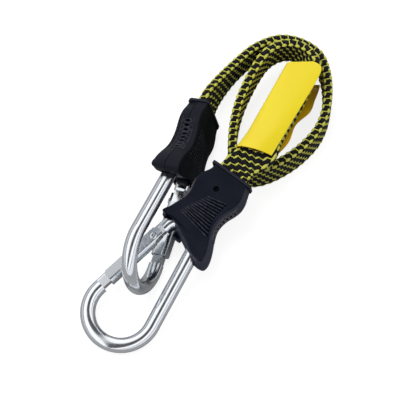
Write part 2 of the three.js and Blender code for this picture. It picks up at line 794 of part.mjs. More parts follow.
// Where an end lies: X towards its gate, Y along its axis, Z out of its face
function frontPlace() {
  const heading = THREE.MathUtils.degToRad(frontHeadingDegrees);
  const dip = THREE.MathUtils.degToRad(frontDipDegrees);
  const roll = THREE.MathUtils.degToRad(frontRollDegrees);
  const along = new THREE.Vector3(
    Math.cos(heading) * Math.cos(dip), Math.sin(heading) * Math.cos(dip), -Math.sin(dip),
  );
  const level = new THREE.Vector3().crossVectors(along, new THREE.Vector3(0, 0, 1)).normalize();
  const over = new THREE.Vector3().crossVectors(level, along);
  const gateWards = level.multiplyScalar(Math.cos(roll)).addScaledVector(over, Math.sin(roll));
  const face = new THREE.Vector3().crossVectors(gateWards, along);
  return new THREE.Matrix4()
    .makeBasis(gateWards, along, face)
    .setPosition(frontBend.x, frontBend.y, frontBend.z);
}

function rearPlace() {
  const heading = THREE.MathUtils.degToRad(rearHeadingDegrees);
  const dip = THREE.MathUtils.degToRad(rearDipDegrees);
  const lean = THREE.MathUtils.degToRad(rearLeanDegrees);
  const along = new THREE.Vector3(
    Math.cos(heading) * Math.cos(dip), Math.sin(heading) * Math.cos(dip), -Math.sin(dip),
  );
  const level = new THREE.Vector3().crossVectors(along, new THREE.Vector3(0, 0, 1)).normalize();
  const upright = new THREE.Vector3().crossVectors(level, along);
  const gateWards = upright.multiplyScalar(-Math.cos(lean)).addScaledVector(level, -Math.sin(lean));
  const face = new THREE.Vector3().crossVectors(gateWards, along);
  return new THREE.Matrix4()
    .makeBasis(gateWards, along, face)
    .setPosition(rearBend.x, rearBend.y, rearBend.z);
}

// One end of the cord, all its pieces in their places
function makeEnd(prefix, place) {
  const end = new THREE.Group();
  end.matrixAutoUpdate = false;
  end.matrix.copy(place);
  const grip = new THREE.Group();
  grip.position.y = -mouthToBend;
  const bandPin = barZ(
    bandPinDiameter / 2, -bandPinHalfLength, bandPinHalfLength, bandPinX, bandPinY, bandPinSides,
  );
  grip.add(named(prefix + "_handle_face_shell", geometryOf(faceShell()), blackNylon));
  grip.add(named(prefix + "_handle_back_shell", geometryOf(backShell()), blackNylon));
  grip.add(named(prefix + "_handle_collar", geometryOf(collarSolid()), blackRubber));
  grip.add(named(prefix + "_band_clamp", geometryOf(clampSolid()), springSteel));
  grip.add(named(prefix + "_band_pin", geometryOf(bandPin), springSteel));
  end.add(grip);
  end.add(named(prefix + "_hook_rod", geometryOf(hookRod()), zinc));
  const gate = new THREE.Group();
  gate.position.set(pinPlace.x, pinPlace.y, 0);
  gate.rotation.z = -flare;
  gate.add(named(prefix + "_gate", geometryOf(gateSolid()), zinc));
  gate.add(named(prefix + "_gate_rivet", rivetGeometry(), zinc));
  gate.add(named(prefix + "_gate_spring", springGeometry(), springSteel));
  end.add(gate);
  return end;
}

const bungee = new THREE.Group();
const frontFrame = frontPlace();
const rearFrame = rearPlace();
bungee.add(makeEnd("front", frontFrame));
bungee.add(makeEnd("rear", rearFrame));

// A point of the band's straight end in an end's handle, Y measured from the mouth
function inHandle(frame, y) {
  return new THREE.Vector3(bandOffset, y - mouthToBend, 0).applyMatrix4(frame);
}

// How far the width of the band is turned where it lies in a handle
function turnInHandle(frame, along) {
  const width = new THREE.Vector3().setFromMatrixColumn(frame, 0).negate();
  const right = new THREE.Vector3().crossVectors(along, new THREE.Vector3(0, 0, 1)).normalize();
  const upright = new THREE.Vector3().crossVectors(right, along);
  return Math.atan2(-width.dot(right), width.dot(upright));
}

// The band's middle line as places with their turns, both read at the same share of the way
function bandLine() {
  const rearAlong = new THREE.Vector3().setFromMatrixColumn(rearFrame, 1).negate();
  const frontAlong = new THREE.Vector3().setFromMatrixColumn(frontFrame, 1);
  const rearTurn = turnInHandle(rearFrame, rearAlong);
  const frontTurn = turnInHandle(frontFrame, frontAlong);
  const places = [
    ...bandStraight.map((y) => inHandle(rearFrame, y)),
    ...bandRoute.map(([x, y, z]) => new THREE.Vector3(x, y, z)),
    ...[...bandStraight].reverse().map((y) => inHandle(frontFrame, y)),
  ];
  const turns = [
    ...bandStraight.map(() => rearTurn),
    ...bandRoute.map((r) => THREE.MathUtils.degToRad(r[3])),
    ...bandStraight.map(() => frontTurn),
  ];
  const line = new THREE.CatmullRomCurve3(places, false, "centripetal");
  line.arcLengthDivisions = 20 * places.length;
  const turning = new THREE.CatmullRomCurve3(
    turns.map((t) => new THREE.Vector3(t, 0, 0)), false, "catmullrom", 0.5,
  );
  const stations = [];
  for (let i = 0; i <= bandSteps; i++) {
    const share = line.getUtoTmapping(i / bandSteps);
    const centre = line.getPoint(share);
    const along = line.getTangent(share);
    const turn = turning.getPoint(share).x;
    const right = new THREE.Vector3().crossVectors(along, new THREE.Vector3(0, 0, 1)).normalize();
    const upright = new THREE.Vector3().crossVectors(right, along);
    const width = upright.multiplyScalar(Math.cos(turn)).addScaledVector(right, -Math.sin(turn));
    const face = new THREE.Vector3().crossVectors(along, width);
    stations.push({ centre, along, width, face });
  }
  return { stations, length: line.getLength() };
}

const band = bandLine();

// A flat bar with round corners along the band's line
function ribbon(halfWidth, halfThickness, corner, cornerPoints, extra) {
  const section = [];
  for (const [sx, sy, from] of [[1, 1, 0], [-1, 1, 1], [-1, -1, 2], [1, -1, 3]]) {
    for (let k = 0; k < cornerPoints; k++) {
      const a = (Math.PI / 2) * (from + k / (cornerPoints - 1));
      section.push([
        sx * (halfWidth - corner) + corner * Math.cos(a),
        sy * (halfThickness - corner) + corner * Math.sin(a),
      ]);
    }
  }
  const last = band.stations.length - 1;
  return solidOf(
    loft(
      band.stations.map(({ centre, along, width, face }, i) => {
        const shift = i === 0 ? -extra : i === last ? extra : 0;
        return section.map(([a, b]) =>
          centre.clone()
            .addScaledVector(along, shift)
            .addScaledVector(width, a)
            .addScaledVector(face, b),
        );
      }),
    ),
  );
}

// The holes that the two pins go through
function pinHoles(solid) {
  const high = clampOuter + overrun;
  let holed = solid;
  for (const frame of [frontFrame, rearFrame]) {
    const y = bandPinY - mouthToBend;
    const hole = geometryOf(
      barZ(bandPinDiameter / 2 + seatGap, -high, high, bandPinX, y, bandPinSides),
    );
    hole.applyMatrix4(frame);
    holed = holed.subtract(solidOf(hole));
  }
  return holed;
}

const halfBand = bandThickness / 2;
const bore = ribbon(
  bandWidth / 2 - sleeveWall, halfBand - sleeveWall, bandCorner - sleeveWall, 3, overrun,
);
const sleeve = ribbon(bandWidth / 2, halfBand, bandCorner, 3, 0).subtract(bore);
const coreInset = sleeveWall + sleeveToCore;
const core = ribbon(bandWidth / 2 - coreInset, halfBand - coreInset, coreCorner, 2, -coreShort);
bungee.add(named("band_sleeve", geometryOf(pinHoles(sleeve)), wovenYarn));
bungee.add(named("band_core", geometryOf(pinHoles(core)), latex));

// Least gap of the band to itself, between stretches that aren't neighbours
function leastGap() {
  const { stations, length } = band;
  const step = length / bandSteps;
  let least = Infinity;
  stations.forEach((one, i) => {
    stations.forEach((other, j) => {
      if (Math.abs(i - j) * step < 3 * bandWidth) return;
      for (const a of [-1, -0.5, 0, 0.5, 1]) {
        for (const b of [-1, 1]) {
          const d = one.centre.clone()
            .addScaledVector(one.width, (a * bandWidth) / 2)
            .addScaledVector(one.face, b * halfBand)
            .sub(other.centre);
          if (Math.abs(d.dot(other.along)) > step / 2) continue;
          const wide = Math.max(Math.abs(d.dot(other.width)) - bandWidth / 2, 0);
          const thick = Math.max(Math.abs(d.dot(other.face)) - halfBand, 0);
          least = Math.min(least, Math.hypot(wide, thick));
        }
      }
    });
  });
  return least;
}

// A row of the tag half way between two others
function rowBetween(one, other) {
  const half = (p, q) => (p + q) / 2;
  return {
    fold: one.fold.map((p, i) => half(p, other.fold[i])),
    free: one.free.map((p, i) => half(p, other.free[i])),
    down: half(one.down, other.down),
    back: half(one.back, other.back),
  };
}

// The tag: a sheet that goes over the band, round its far edge and back under it
function tagSolid() {
  const radius = tagFoldRadius;
  const bend = (Math.PI / 2) * radius;
  const rows = tagRows.flatMap((row, k) => (k ? [rowBetween(tagRows[k - 1], row), row] : [row]));
  const rings = rows.map(({ fold, free, down, back }) => {
    const corner = new THREE.Vector3(...fold);
    const across = new THREE.Vector3(...free).sub(corner);
    const front = across.length() - radius;
    across.normalize();
    const up = new THREE.Vector3(0, 0, 1).addScaledVector(across, -across.z).normalize();
    const wall = down - 2 * radius;
    const reach = front + 2 * bend + wall + back - radius;
    const place = (at, side) => {
      const past = at - front;
      const inFirst = THREE.MathUtils.clamp(past / bend, 0, 1);
      const inWall = THREE.MathUtils.clamp(past - bend, 0, wall);
      const inSecond = THREE.MathUtils.clamp((past - bend - wall) / bend, 0, 1);
      const inBack = Math.max(past - 2 * bend - wall, 0);
      const one = (Math.PI / 2) * inFirst;
      const two = (Math.PI / 2) * inSecond;
      const a = front - Math.min(at, front) + radius * (2 - Math.sin(one) - Math.cos(two)) + inBack;
      const b = radius * (Math.cos(one) - 1 - Math.sin(two)) - inWall;
      const out = (side * tagSheet) / 2;
      return corner.clone()
        .addScaledVector(across, a - out * Math.sin(one + two))
        .addScaledVector(up, b + out * Math.cos(one + two));
    };
    const ring = [];
    for (let k = 0; k < tagAcross; k++) ring.push(place((reach * k) / (tagAcross - 1), 1));
    for (let k = tagAcross - 1; k >= 0; k--) ring.push(place((reach * k) / (tagAcross - 1), -1));
    return ring;
  });
  return solidOf(loft(rings));
}

bungee.add(named("yellow_tag", geometryOf(tagSolid()), yellowSheet));

console.log("band length", band.length.toFixed(1), "mm");
console.log("least gap of the band to itself", leastGap().toFixed(2), "mm");

export default bungee;
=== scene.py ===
# %% [markdown]
# # A flat bungee cord with two snap hooks
# The cord is a woven elastic band, folded on itself on a pale floor. A moulded handle holds each
# end of the band and a bent steel rod, and a sprung gate closes each rod to a hook. The packed
# solids give every place. This lesson puts finer surfaces on them, one piece at a time, and each
# surface is a grid of points worked out with numpy.

# %% The fixed frame
import math

import bpy
import numpy as np
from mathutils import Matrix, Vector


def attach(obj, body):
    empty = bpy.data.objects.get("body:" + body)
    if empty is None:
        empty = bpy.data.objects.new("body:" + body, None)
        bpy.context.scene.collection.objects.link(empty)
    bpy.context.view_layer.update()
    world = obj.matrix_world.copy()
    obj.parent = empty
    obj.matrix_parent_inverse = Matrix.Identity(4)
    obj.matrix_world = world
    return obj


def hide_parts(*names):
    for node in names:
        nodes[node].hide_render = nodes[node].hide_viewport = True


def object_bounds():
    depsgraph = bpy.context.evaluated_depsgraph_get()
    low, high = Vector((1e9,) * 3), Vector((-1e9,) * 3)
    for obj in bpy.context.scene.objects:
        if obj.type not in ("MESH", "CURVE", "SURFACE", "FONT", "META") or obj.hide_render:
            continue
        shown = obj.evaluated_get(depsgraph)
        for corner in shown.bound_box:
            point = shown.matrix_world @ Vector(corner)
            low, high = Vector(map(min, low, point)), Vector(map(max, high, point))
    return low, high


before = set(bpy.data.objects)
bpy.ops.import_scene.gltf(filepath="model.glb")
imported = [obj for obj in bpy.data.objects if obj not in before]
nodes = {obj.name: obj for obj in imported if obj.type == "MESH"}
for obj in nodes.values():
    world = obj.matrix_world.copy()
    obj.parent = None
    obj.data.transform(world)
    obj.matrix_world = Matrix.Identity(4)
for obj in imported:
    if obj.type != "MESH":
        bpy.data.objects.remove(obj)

cad_low, cad_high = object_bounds()
MM = 0.001
quarter_turn = math.pi / 2
print("the solids fill", [round(1000 * (b - a), 1) for a, b in zip(cad_low, cad_high)], "mm")

# %% [markdown]
# ## The camera
# A product picture is taken from a step away with a long lens, so that near and far parts keep
# their true proportions. The camera could be aimed by hand, but its place follows from three
# facts: the point of the floor at the middle of the picture, how steeply it is seen, and the
# distance. The lens then sets how many millimetres the picture spans.

# %% The camera
steepness = math.radians(62.7)
aim = np.array([16.93, 20.68, 0.0]) * MM
distance = 1.0
sensor_width = 36
lens = 171
camera_data = bpy.data.cameras.new("camera")
camera_data.sensor_width = sensor_width
camera_data.lens = lens
camera_data.clip_start = 0.01 * distance
camera = bpy.data.objects.new("camera", camera_data)
camera.location = aim + distance * np.array([0, -math.cos(steepness), math.sin(steepness)])
camera.rotation_euler = (quarter_turn - steepness, 0.0, 0.0)
bpy.context.scene.collection.objects.link(camera)
bpy.context.scene.camera = camera
print("the picture spans", round(sensor_width / lens * distance / MM, 1), "mm at the middle")

# %% [markdown]
# ## Small tools for materials
# A finish is a graph of nodes. Short functions keep every later cell readable: one starts a
# material from its plain values, one adds a node and wires or sets its inputs, and the others
# name what a few nodes do together. Patterns are fixed to the piece: they are read from its own
# coordinates, or from the map that a new piece carries along and round itself.

# %% Tools for materials
def start_finish(name, roughness, metallic=0.0, specular=0.5):
    """A new material with these values on its shader; gives the material, its tree, its shader."""
    made = bpy.data.materials.new(name)
    made.use_nodes = True
    shader = made.node_tree.nodes["Principled BSDF"]
    shader.inputs["Roughness"].default_value = roughness
    shader.inputs["Metallic"].default_value = metallic
    shader.inputs["Specular IOR Level"].default_value = specular
    return made, made.node_tree, shader


def add_node(tree, kind, inputs=None, **settings):
    """A node with its settings; each input is either wired from a socket or set to a value."""
    made = tree.nodes.new(kind)
    for key, value in settings.items():
        setattr(made, key, value)
    for key, value in (inputs or {}).items():
        if isinstance(value, bpy.types.NodeSocket):
            tree.links.new(value, made.inputs[key])
        else:
            made.inputs[key].default_value = value
    return made


def number(tree, operation, *values):
    """One value worked out from one or two others, wired or plain."""
    return add_node(
        tree, "ShaderNodeMath", dict(enumerate(values)), operation=operation
    ).outputs[0]


def own_place(tree):
    """Places in the piece's own coordinates, in metres."""
    return add_node(tree, "ShaderNodeTexCoord").outputs["Object"]


def unrolled_place(tree):
    """Places on the map that a new piece carries along and round itself."""
    return add_node(tree, "ShaderNodeUVMap", uv_map="along_and_round").outputs["UV"]


def scaled(tree, source, scales):
    """Coordinates multiplied by three scales."""
    return add_node(
        tree, "ShaderNodeMapping", {"Vector": source, "Scale": scales}
    ).outputs["Vector"]


def noise(tree, source, scale, detail=3.0):
    """Soft random values from 0 to 1, with grains of about one through the scale."""
    return add_node(
        tree, "ShaderNodeTexNoise", {"Vector": source, "Scale": scale, "Detail": detail}
    ).outputs["Fac"]


def remapped(tree, value, low, high, to_low, to_high):
    """A value carried in a straight line from one span to another, and held at its ends."""
    spans = {"Value": value, "From Min": low, "From Max": high, "To Min": to_low, "To Max": to_high}
    return add_node(tree, "ShaderNodeMapRange", spans, clamp=True).outputs["Result"]


def two_colours(tree, shader, share, first, second):
    """Base colour that goes from the first colour to the second as the share goes from 0 to 1."""
    mixed = tree.nodes.new("ShaderNodeMix")
    mixed.data_type = "RGBA"
    tree.links.new(share, mixed.inputs[0])
    mixed.inputs[6].default_value = (*first, 1)
    mixed.inputs[7].default_value = (*second, 1)
    tree.links.new(mixed.outputs[2], shader.inputs["Base Color"])


def raised(tree, shader, height, strength, depth):
    """Bump from a height: depth is the relief in millimetres of a height of one."""
    bump = add_node(
        tree, "ShaderNodeBump", {"Height": height, "Strength": strength, "Distance": depth * MM}
    )
    tree.links.new(bump.outputs["Normal"], shader.inputs["Normal"])


def roughness_from(tree, shader, value, low, high):
    """Roughness that goes from low to high where a noise goes from its lows to its highs."""
    tree.links.new(remapped(tree, value, 0.35, 0.7, low, high), shader.inputs["Roughness"])


def grained_finish(
    name, scale, dark, light, bump, roughness, metallic=0.0, specular=0.5, span=(0.0, 1.0),
    stretch=None,
):
    """A finish with a fine grain, which is its colour and also its relief.

    The colour runs from dark to light over the span of a noise; the bump has a strength and a
    depth. With a stretch, the grains run long, along and round the piece.
    """
    made, tree, shader = start_finish(name, roughness, metallic, specular)
    source = scaled(tree, unrolled_place(tree), stretch) if stretch else own_place(tree)
    grain = noise(tree, source, scale)
    two_colours(tree, shader, remapped(tree, grain, *span, 0, 1), dark, light)
    raised(tree, shader, grain, *bump)
    return made

# %% [markdown]
# ## From grids of points to a mesh
# Every new piece is a grid: rows run along the piece and columns run round it. Blender could
# make tubes from curves, but a grid from numpy keeps control of each ring, and the pattern that
# lies on the piece can be read from the same two numbers.

# %% From grids of points to a mesh
ROOT = "cord_and_ends"


def crossed(rows, columns):
    """Grid of the pairs (row's value, column's value)."""
    return np.stack(np.meshgrid(rows, columns, indexing="ij"), -1)


def grid_faces(rows, columns, ends):
    """Corner numbers of one closed tube's faces, four corners each, columns joined round.

    Corner numbers count along the rows of a grid that has one more column than the points, so
    that the seam can carry two values of a map. The ends are closed by one face, or, on a folded
    sheet whose columns go out and come back, by a strip of faces, at both ends or the first.
    """
    wide = columns + 1
    row = np.arange(rows - 1)[:, None] * wide
    column = np.arange(columns)[None, :]
    low = row + column
    quads = np.stack([low, low + 1, low + wide + 1, low + wide], -1)
    faces = quads.reshape(-1, 4).tolist()
    last = (rows - 1) * wide
    if ends == "face":
        faces.append(np.arange(columns)[::-1].tolist())
        faces.append((last + np.arange(columns)).tolist())
    else:
        out = np.arange(columns // 2 - 1)
        back = columns - 1 - out
        strip = np.stack([out, out + 1, back - 1, back], -1)
        faces += strip[:, ::-1].tolist()
        if ends == "strip":
            faces += (last + strip).tolist()
    return faces


def signed_volume(points, faces):
    """Sum of a . (b x c) / 6 over the triangles of the faces; positive when they look outwards."""
    quads = np.array([f for f in faces if len(f) == 4])
    a, b, c, d = (points[quads[:, i]] for i in range(4))
    return float(np.sum(a * np.cross(b, c)) + np.sum(a * np.cross(c, d))) / 6


def make_piece(
    name, grids, finish, slot, body=ROOT, ends="face", uvs=None, sharp=None, weld=False
):
    """One object from one or more grids of points in metres, with its finish and body; slot is not
    used.

    uvs are grids of two numbers with one more column than their points, because the column that
    closes the ring has a value of its own. sharp is the angle past which an edge stays hard.
    weld joins points that lie on each other, and drops the faces that this leaves flat.
    """
    points, faces, flat = [], [], []
    first = 0
    for index, grid in enumerate(grids):
        rows, columns = grid.shape[:2]
        points.append(np.asarray(grid, float).reshape(-1, 3))
        made_faces = grid_faces(rows, columns, ends)
        numbers = np.array([c for face in made_faces for c in face])
        if uvs is not None:
            flat.append(np.asarray(uvs[index], float).reshape(-1, 2)[numbers])
        line, place = numbers // (columns + 1), numbers % (columns + 1)
        real = iter((first + line * columns + place % columns).tolist())
        faces += [[next(real) for _ in face] for face in made_faces]
        first += rows * columns
    points = np.concatenate(points)
    if weld:
        points, joined = np.unique(np.round(points, 8), axis=0, return_inverse=True)
        joined = joined.ravel().tolist()
        faces = [list(dict.fromkeys(joined[corner] for corner in face)) for face in faces]
        faces = [face for face in faces if len(face) > 2]
    turned = signed_volume(points, faces) < 0
    if turned:
        faces = [face[::-1] for face in faces]
    mesh = bpy.data.meshes.new(name)
    mesh.from_pydata(points, [], faces)
    if uvs is not None:
        flat = np.concatenate(flat)
        if turned:
            sizes = np.array([len(face) for face in faces])
            starts = np.cumsum(sizes) - sizes
            ends_of = np.repeat(2 * starts + sizes - 1, sizes)
            flat = flat[ends_of - np.arange(len(flat))]
        mesh.uv_layers.new(name="along_and_round").data.foreach_set("uv", flat.ravel())
    mesh.shade_smooth()
    if sharp is not None:
        mesh.set_sharp_from_angle(angle=math.radians(sharp))
    mesh.materials.append(finish)
    made = bpy.data.objects.new(name, mesh)
    bpy.context.scene.collection.objects.link(made)
    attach(made, body)
    print(name, "has", sum(len(face) - 2 for face in faces), "triangles")
    return made


def soft_square(corners, power):
    """Two coordinates round a square with soft corners: sgn(cos t) |cos t|^power, same with sin."""
    t = np.radians((np.arange(corners) + 0.5) * 360 / corners)
    return [np.sign(wave) * np.abs(wave) ** power for wave in (np.cos(t), np.sin(t))]

# %% [markdown]
# ## Where the two ends lie
# Both ends are the same parts in two places. In an end's own frame X points towards the gate, Y
# along the axis away from the handle, and Z out of the handle's face. A heading, a dip and a roll
# place that frame, as they would place a ship, so a piece is drawn once and placed twice.

# %% Where the two ends lie
def unit(v):
    """Vectors of length one in the direction of the given ones."""
    return v / np.linalg.norm(v, axis=-1, keepdims=True)


def circle(t):
    """Points (cos t, sin t) of the circle with radius one."""
    return np.stack([np.cos(t), np.sin(t)], -1)


def soft_step(value, low, high):
    """Rises from 0 to 1 between low and high with level ends: 3 t^2 - 2 t^3."""
    t = np.clip((value - low) / (high - low), 0, 1)
    return t * t * (3 - 2 * t)


def end_frame(bend, heading, dip, roll):
    """Frame of one end as a function from its own millimetres to metres in the model.

    Along points at the heading and dips below level; the gate's direction starts level, square to
    it, and turns round it by the roll; the face's direction is square to both.
    """
    heading, dip, roll = np.radians([heading, dip, roll])
    level_part = math.cos(dip)
    along = np.array(
        [math.cos(heading) * level_part, math.sin(heading) * level_part, -math.sin(dip)]
    )
    level = unit(np.cross(along, [0, 0, 1]))
    over = np.cross(level, along)
    gatewards = level * math.cos(roll) + over * math.sin(roll)
    axes = np.stack([gatewards, along, np.cross(gatewards, along)])

    def place(points):
        return (np.asarray(points, float) @ axes + bend) * MM

    return place, axes


front_bend = np.array([-22.7, -47.4, 8.6])
rear_bend = np.array([-11.1, -20.5, 20.5])
place_front, front_axes = end_frame(front_bend, -128.6, 11.4, 3.6)
place_rear, rear_axes = end_frame(rear_bend, -109.9, -4.3, -106.4)
ENDS = [("front", place_front), ("rear", place_rear)]


def at_both_ends(piece, grid, finish, slot, node, on_gate=False, **more):
    """The same piece at both ends, each standing for that end's node; gives the two objects."""
    pieces = []
    for name, place in ENDS:
        body = name + "_gate" if on_gate else ROOT
        made = make_piece(f"{name}_{piece}", [place(grid)], finish, slot, body, **more)
        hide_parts(f"{name}_{node}")
        pieces.append(made)
    return pieces


print("front bend at", np.round(place_front([0, 0, 0]) / MM, 1), "mm")

# %% [markdown]
# ## The band's middle line
# A cord is laid out first, because everything else must clear it. The band leaves the rear
# handle, makes a wide outer turn standing on its edge, climbs over itself in a smaller turn,
# lies down flat and enters the front handle. Hand-drawn curves would do, but a smooth line
# through a few places, with a turn for each place, is exact and can be measured.

# %% The band's middle line
mouth_to_bend = 90.1
band_offset = -1.6
straight_ends = np.array([23.4, 12.0, 2.0, -7.0])
route = np.array([
    [25.2, 78.6, 12.8, 10], [31.7, 89.2, 10.1, 3], [38.4, 97.5, 9.1, 0],
    [44.9, 103.8, 8.9, 0], [52.5, 108.3, 8.9, 0], [60.7, 110.6, 8.9, 0],
    [69.0, 109.3, 8.9, 0], [76.0, 105.6, 8.9, 0], [81.6, 99.6, 8.9, 0],
    [84.6, 89.4, 8.9, 0], [85.2, 78.8, 8.9, 0], [84.2, 69.0, 8.9, 0],
    [81.9, 60.5, 8.9, 0], [77.9, 52.6, 8.9, 0], [72.5, 46.0, 8.9, 0],
    [66.1, 40.0, 8.9, 0], [59.2, 35.2, 8.9, 0], [52.4, 31.7, 8.9, 0],
    [45.6, 29.9, 8.9, 0], [39.6, 31.0, 8.9, 0], [35.7, 35.6, 8.9, 0],
    [34.2, 43.2, 8.9, 0], [34.3, 53.1, 9.0, 0], [35.9, 63.2, 9.9, 0],
    [38.6, 72.1, 11.8, 0], [42.4, 80.5, 14.1, 0], [46.9, 88.6, 16.5, 0],
    [51.8, 95.4, 18.3, 0], [57.6, 100.0, 18.5, 0], [63.9, 101.7, 18.5, 0],
    [69.8, 100.4, 18.5, 2], [74.2, 96.4, 18.5, 8], [76.2, 90.9, 18.7, 20],
    [73.8, 85.3, 19.4, 38], [69.2, 78.4, 20.8, 58], [64.8, 69.7, 22.4, 74],
    [60.1, 60.3, 24.2, 84], [55.3, 50.8, 26.1, 89], [51.0, 41.5, 27.6, 90],
    [47.8, 32.8, 28.2, 88],
])


def columns_at(where, marks, table):
    """Every column of a table, looked up between its rows' marks."""
    return np.stack([np.interp(where, marks, column) for column in table.T], -1)


def run_along(line):
    """How far each point of a line is from its start, along the line."""
    return np.concatenate([[0], np.cumsum(np.linalg.norm(np.diff(line, axis=0), axis=1))])


def smooth_through(points, shares, even_knots=False):
    """Points on a smooth line through the given ones, at shares of the way from 0 to 1.

    Between two neighbours the line is a cubic. Its slope at each point is the mean of the slopes
    on both sides, weighed by knots that lie apart by the square root of the distance, or evenly.
    """
    spans = len(points) - 1
    at = np.asarray(shares) * spans
    k = np.minimum(at.astype(int), spans - 1)
    t = (at - k)[:, None]
    more = np.vstack([2 * points[0] - points[1], points, 2 * points[-1] - points[-2]])
    p0, p1, p2, p3 = (more[k + i] for i in range(4))
    if even_knots:
        m1, m2 = (p2 - p0) / 2, (p3 - p1) / 2
    else:
        d0, d1, d2 = (
            np.sum((b - a) ** 2, axis=1, keepdims=True) ** 0.25
            for a, b in ((p0, p1), (p1, p2), (p2, p3))
        )
        m1 = d1 * ((p1 - p0) / d0 - (p2 - p0) / (d0 + d1) + (p2 - p1) / d1)
        m2 = d1 * ((p2 - p1) / d1 - (p3 - p1) / (d1 + d2) + (p3 - p2) / d2)
    return (
        p1 + m1 * t
        + (3 * (p2 - p1) - 2 * m1 - m2) * t**2
        + (2 * (p1 - p2) + m1 + m2) * t**3
    )


def turn_of(axes, along):
    """How far the band's width, minus X of an end's frame, is turned from upright there."""
    right = unit(np.cross(along, [0, 0, 1]))
    upright = np.cross(right, along)
    return math.degrees(math.atan2(axes[0] @ right, -axes[0] @ upright))


def in_handle(place, distances):
    """Points of the band's straight end in a handle, at distances in from the handle's mouth."""
    return place(
        [[band_offset, d - mouth_to_bend, 0.0] for d in distances]
    ) / MM


band_places = np.vstack([
    in_handle(place_rear, straight_ends), route[:, :3],
    in_handle(place_front, straight_ends[::-1]),
])
band_turns = np.concatenate([
    np.repeat(turn_of(rear_axes, -rear_axes[1]), len(straight_ends)), route[:, 3],
    np.repeat(turn_of(front_axes, front_axes[1]), len(straight_ends)),
])
fine = np.linspace(0, 1, 9001)
line_centre = smooth_through(band_places, fine)
line_along = unit(np.gradient(line_centre, axis=0))
line_turn = np.radians(smooth_through(band_turns[:, None], fine, even_knots=True))
line_right = unit(np.cross(line_along, [0, 0, 1]))
line_upright = np.cross(line_right, line_along)
line_width = line_upright * np.cos(line_turn) - line_right * np.sin(line_turn)
line_face = np.cross(line_along, line_width)
line_reach = run_along(line_centre)
band_length = line_reach[-1]
print("the band is", round(band_length, 1), "mm long")

# %% [markdown]
# ## A coordinate system on the band
# The weave is easiest to describe on the unrolled band: s millimetres along it and v columns of
# yarn round it. One function carries a point (s, v), lifted off the surface by a height, to its
# place on the bent band, so the weave can be drawn as if the band lay straight.

# %% A coordinate system on the band
band_half_width = 8.5
band_half_thickness = 2.25
band_corner = 1.6
yarn_columns = 12
edge_column = 4.1

flat_edge = 2 * (band_half_thickness - band_corner)
flat_face = 2 * (band_half_width - band_corner)
quarter = quarter_turn * band_corner
ring_marks = np.cumsum([
    0, flat_edge / 2, quarter, flat_face, quarter, flat_edge, quarter, flat_face, quarter,
    flat_edge / 2,
])
ring_angles = np.radians([0, 0, 90, 90, 180, 180, 270, 270, 360, 360])
ring_a = (band_half_width - band_corner) * np.array([1, 1, 1, -1, -1, -1, -1, 1, 1, 1])
ring_b = (band_half_thickness - band_corner) * np.array([0, 1, 1, 1, 1, -1, -1, -1, -1, 0])
round_band_length = ring_marks[-1]
column_marks = np.array([0, 0.5, 5.5, 6.5, 11.5, 12.0])
column_starts = (
    round_band_length / 2 * np.array([0, 0, 1, 1, 2, 2])
    + edge_column / 2 * np.array([0, 1, -1, 1, -1, 0])
)
column_width = round_band_length / yarn_columns


def on_band(s, v, lift):
    """Place in metres of the point s along and v columns round the band, lifted off it.

    Round the section, a rectangle with round corners, the outward direction turns only in the
    corners. The section's point is its corner centre plus (corner radius + lift) outwards, and
    the place is centre + a * width + b * face, with the line's frame at s.
    """
    s, v, lift = np.broadcast_arrays(s, v, lift)
    travelled = np.interp(v % yarn_columns, column_marks, column_starts)
    angle = np.interp(travelled, ring_marks, ring_angles)
    reach = band_corner + lift
    a = np.interp(travelled, ring_marks, ring_a) + reach * np.cos(angle)
    b = np.interp(travelled, ring_marks, ring_b) + reach * np.sin(angle)
    middle, wide, out = (
        columns_at(s, line_reach, table) for table in (line_centre, line_width, line_face)
    )
    return (middle + a[..., None] * wide + b[..., None] * out) * MM


print("one column of yarn is", round(column_width, 2), "mm wide")

# %% [markdown]
# ## The black yarns of the weave
# The sleeve shows fat black yarns that run along the band in columns. Each rises to a pillow and
# dives under a thin yellow yarn every 4 mm, and neighbouring columns are half a step apart. A
# texture alone would look printed, so the pillows are real relief in the mesh. Their fine plies
# are only a bump, read from the same two numbers through the piece's UV map.

# %% Finish of the black yarns
black_yarn, tree, shader = start_finish("black_yarn", 0.62, specular=0.14)
shader.inputs["Sheen Weight"].default_value = 0.06
shader.inputs["Sheen Roughness"].default_value = 0.4
cloth = unrolled_place(tree)
plies = add_node(
    tree, "ShaderNodeTexWave",
    {"Vector": scaled(tree, cloth, (0.9, 5.0, 1.0)), "Scale": 0.32, "Distortion": 1.2,
     "Detail": 1.0, "Detail Scale": 2.0},
    wave_type="BANDS", bands_direction="Y",
).outputs["Fac"]
fibres = noise(tree, scaled(tree, cloth, (2.5, 14.0, 1.0)), 1.0)
two_colours(
    tree, shader, remapped(tree, fibres, 0.35, 0.75, 0, 1), (0.004, 0.004, 0.005),
    (0.016, 0.016, 0.019),
)
raised(tree, shader, number(tree, "ADD", plies, fibres), 0.5, 0.15)

# %% The black yarns
band_steps = 104
rows_per_step = 9
step_length = band_length / band_steps
valley = -0.6
crown = 0.16


def pillow(s, v):
    """Height of the black yarn at (s, v): from the valley up to the crown inside each pillow.

    A column's pillows are one step long and shifted by half a step from the next column's. With
    x and y from -1 to 1 across and along a pillow, the rise is a root of 1 - |x|^2.6 times a
    root of 1 - |y|^3, so it is full in the middle and steep at its rim.
    """
    column = np.round(v)
    x = 2 * (v - column)
    y = 2 * ((s / step_length - column / 2) % 1 - 0.5)
    rise = np.maximum(1 - np.abs(x) ** 2.6, 0) ** 0.6 * np.maximum(1 - np.abs(y) ** 3, 0) ** 0.55
    return valley + (crown - valley) * rise


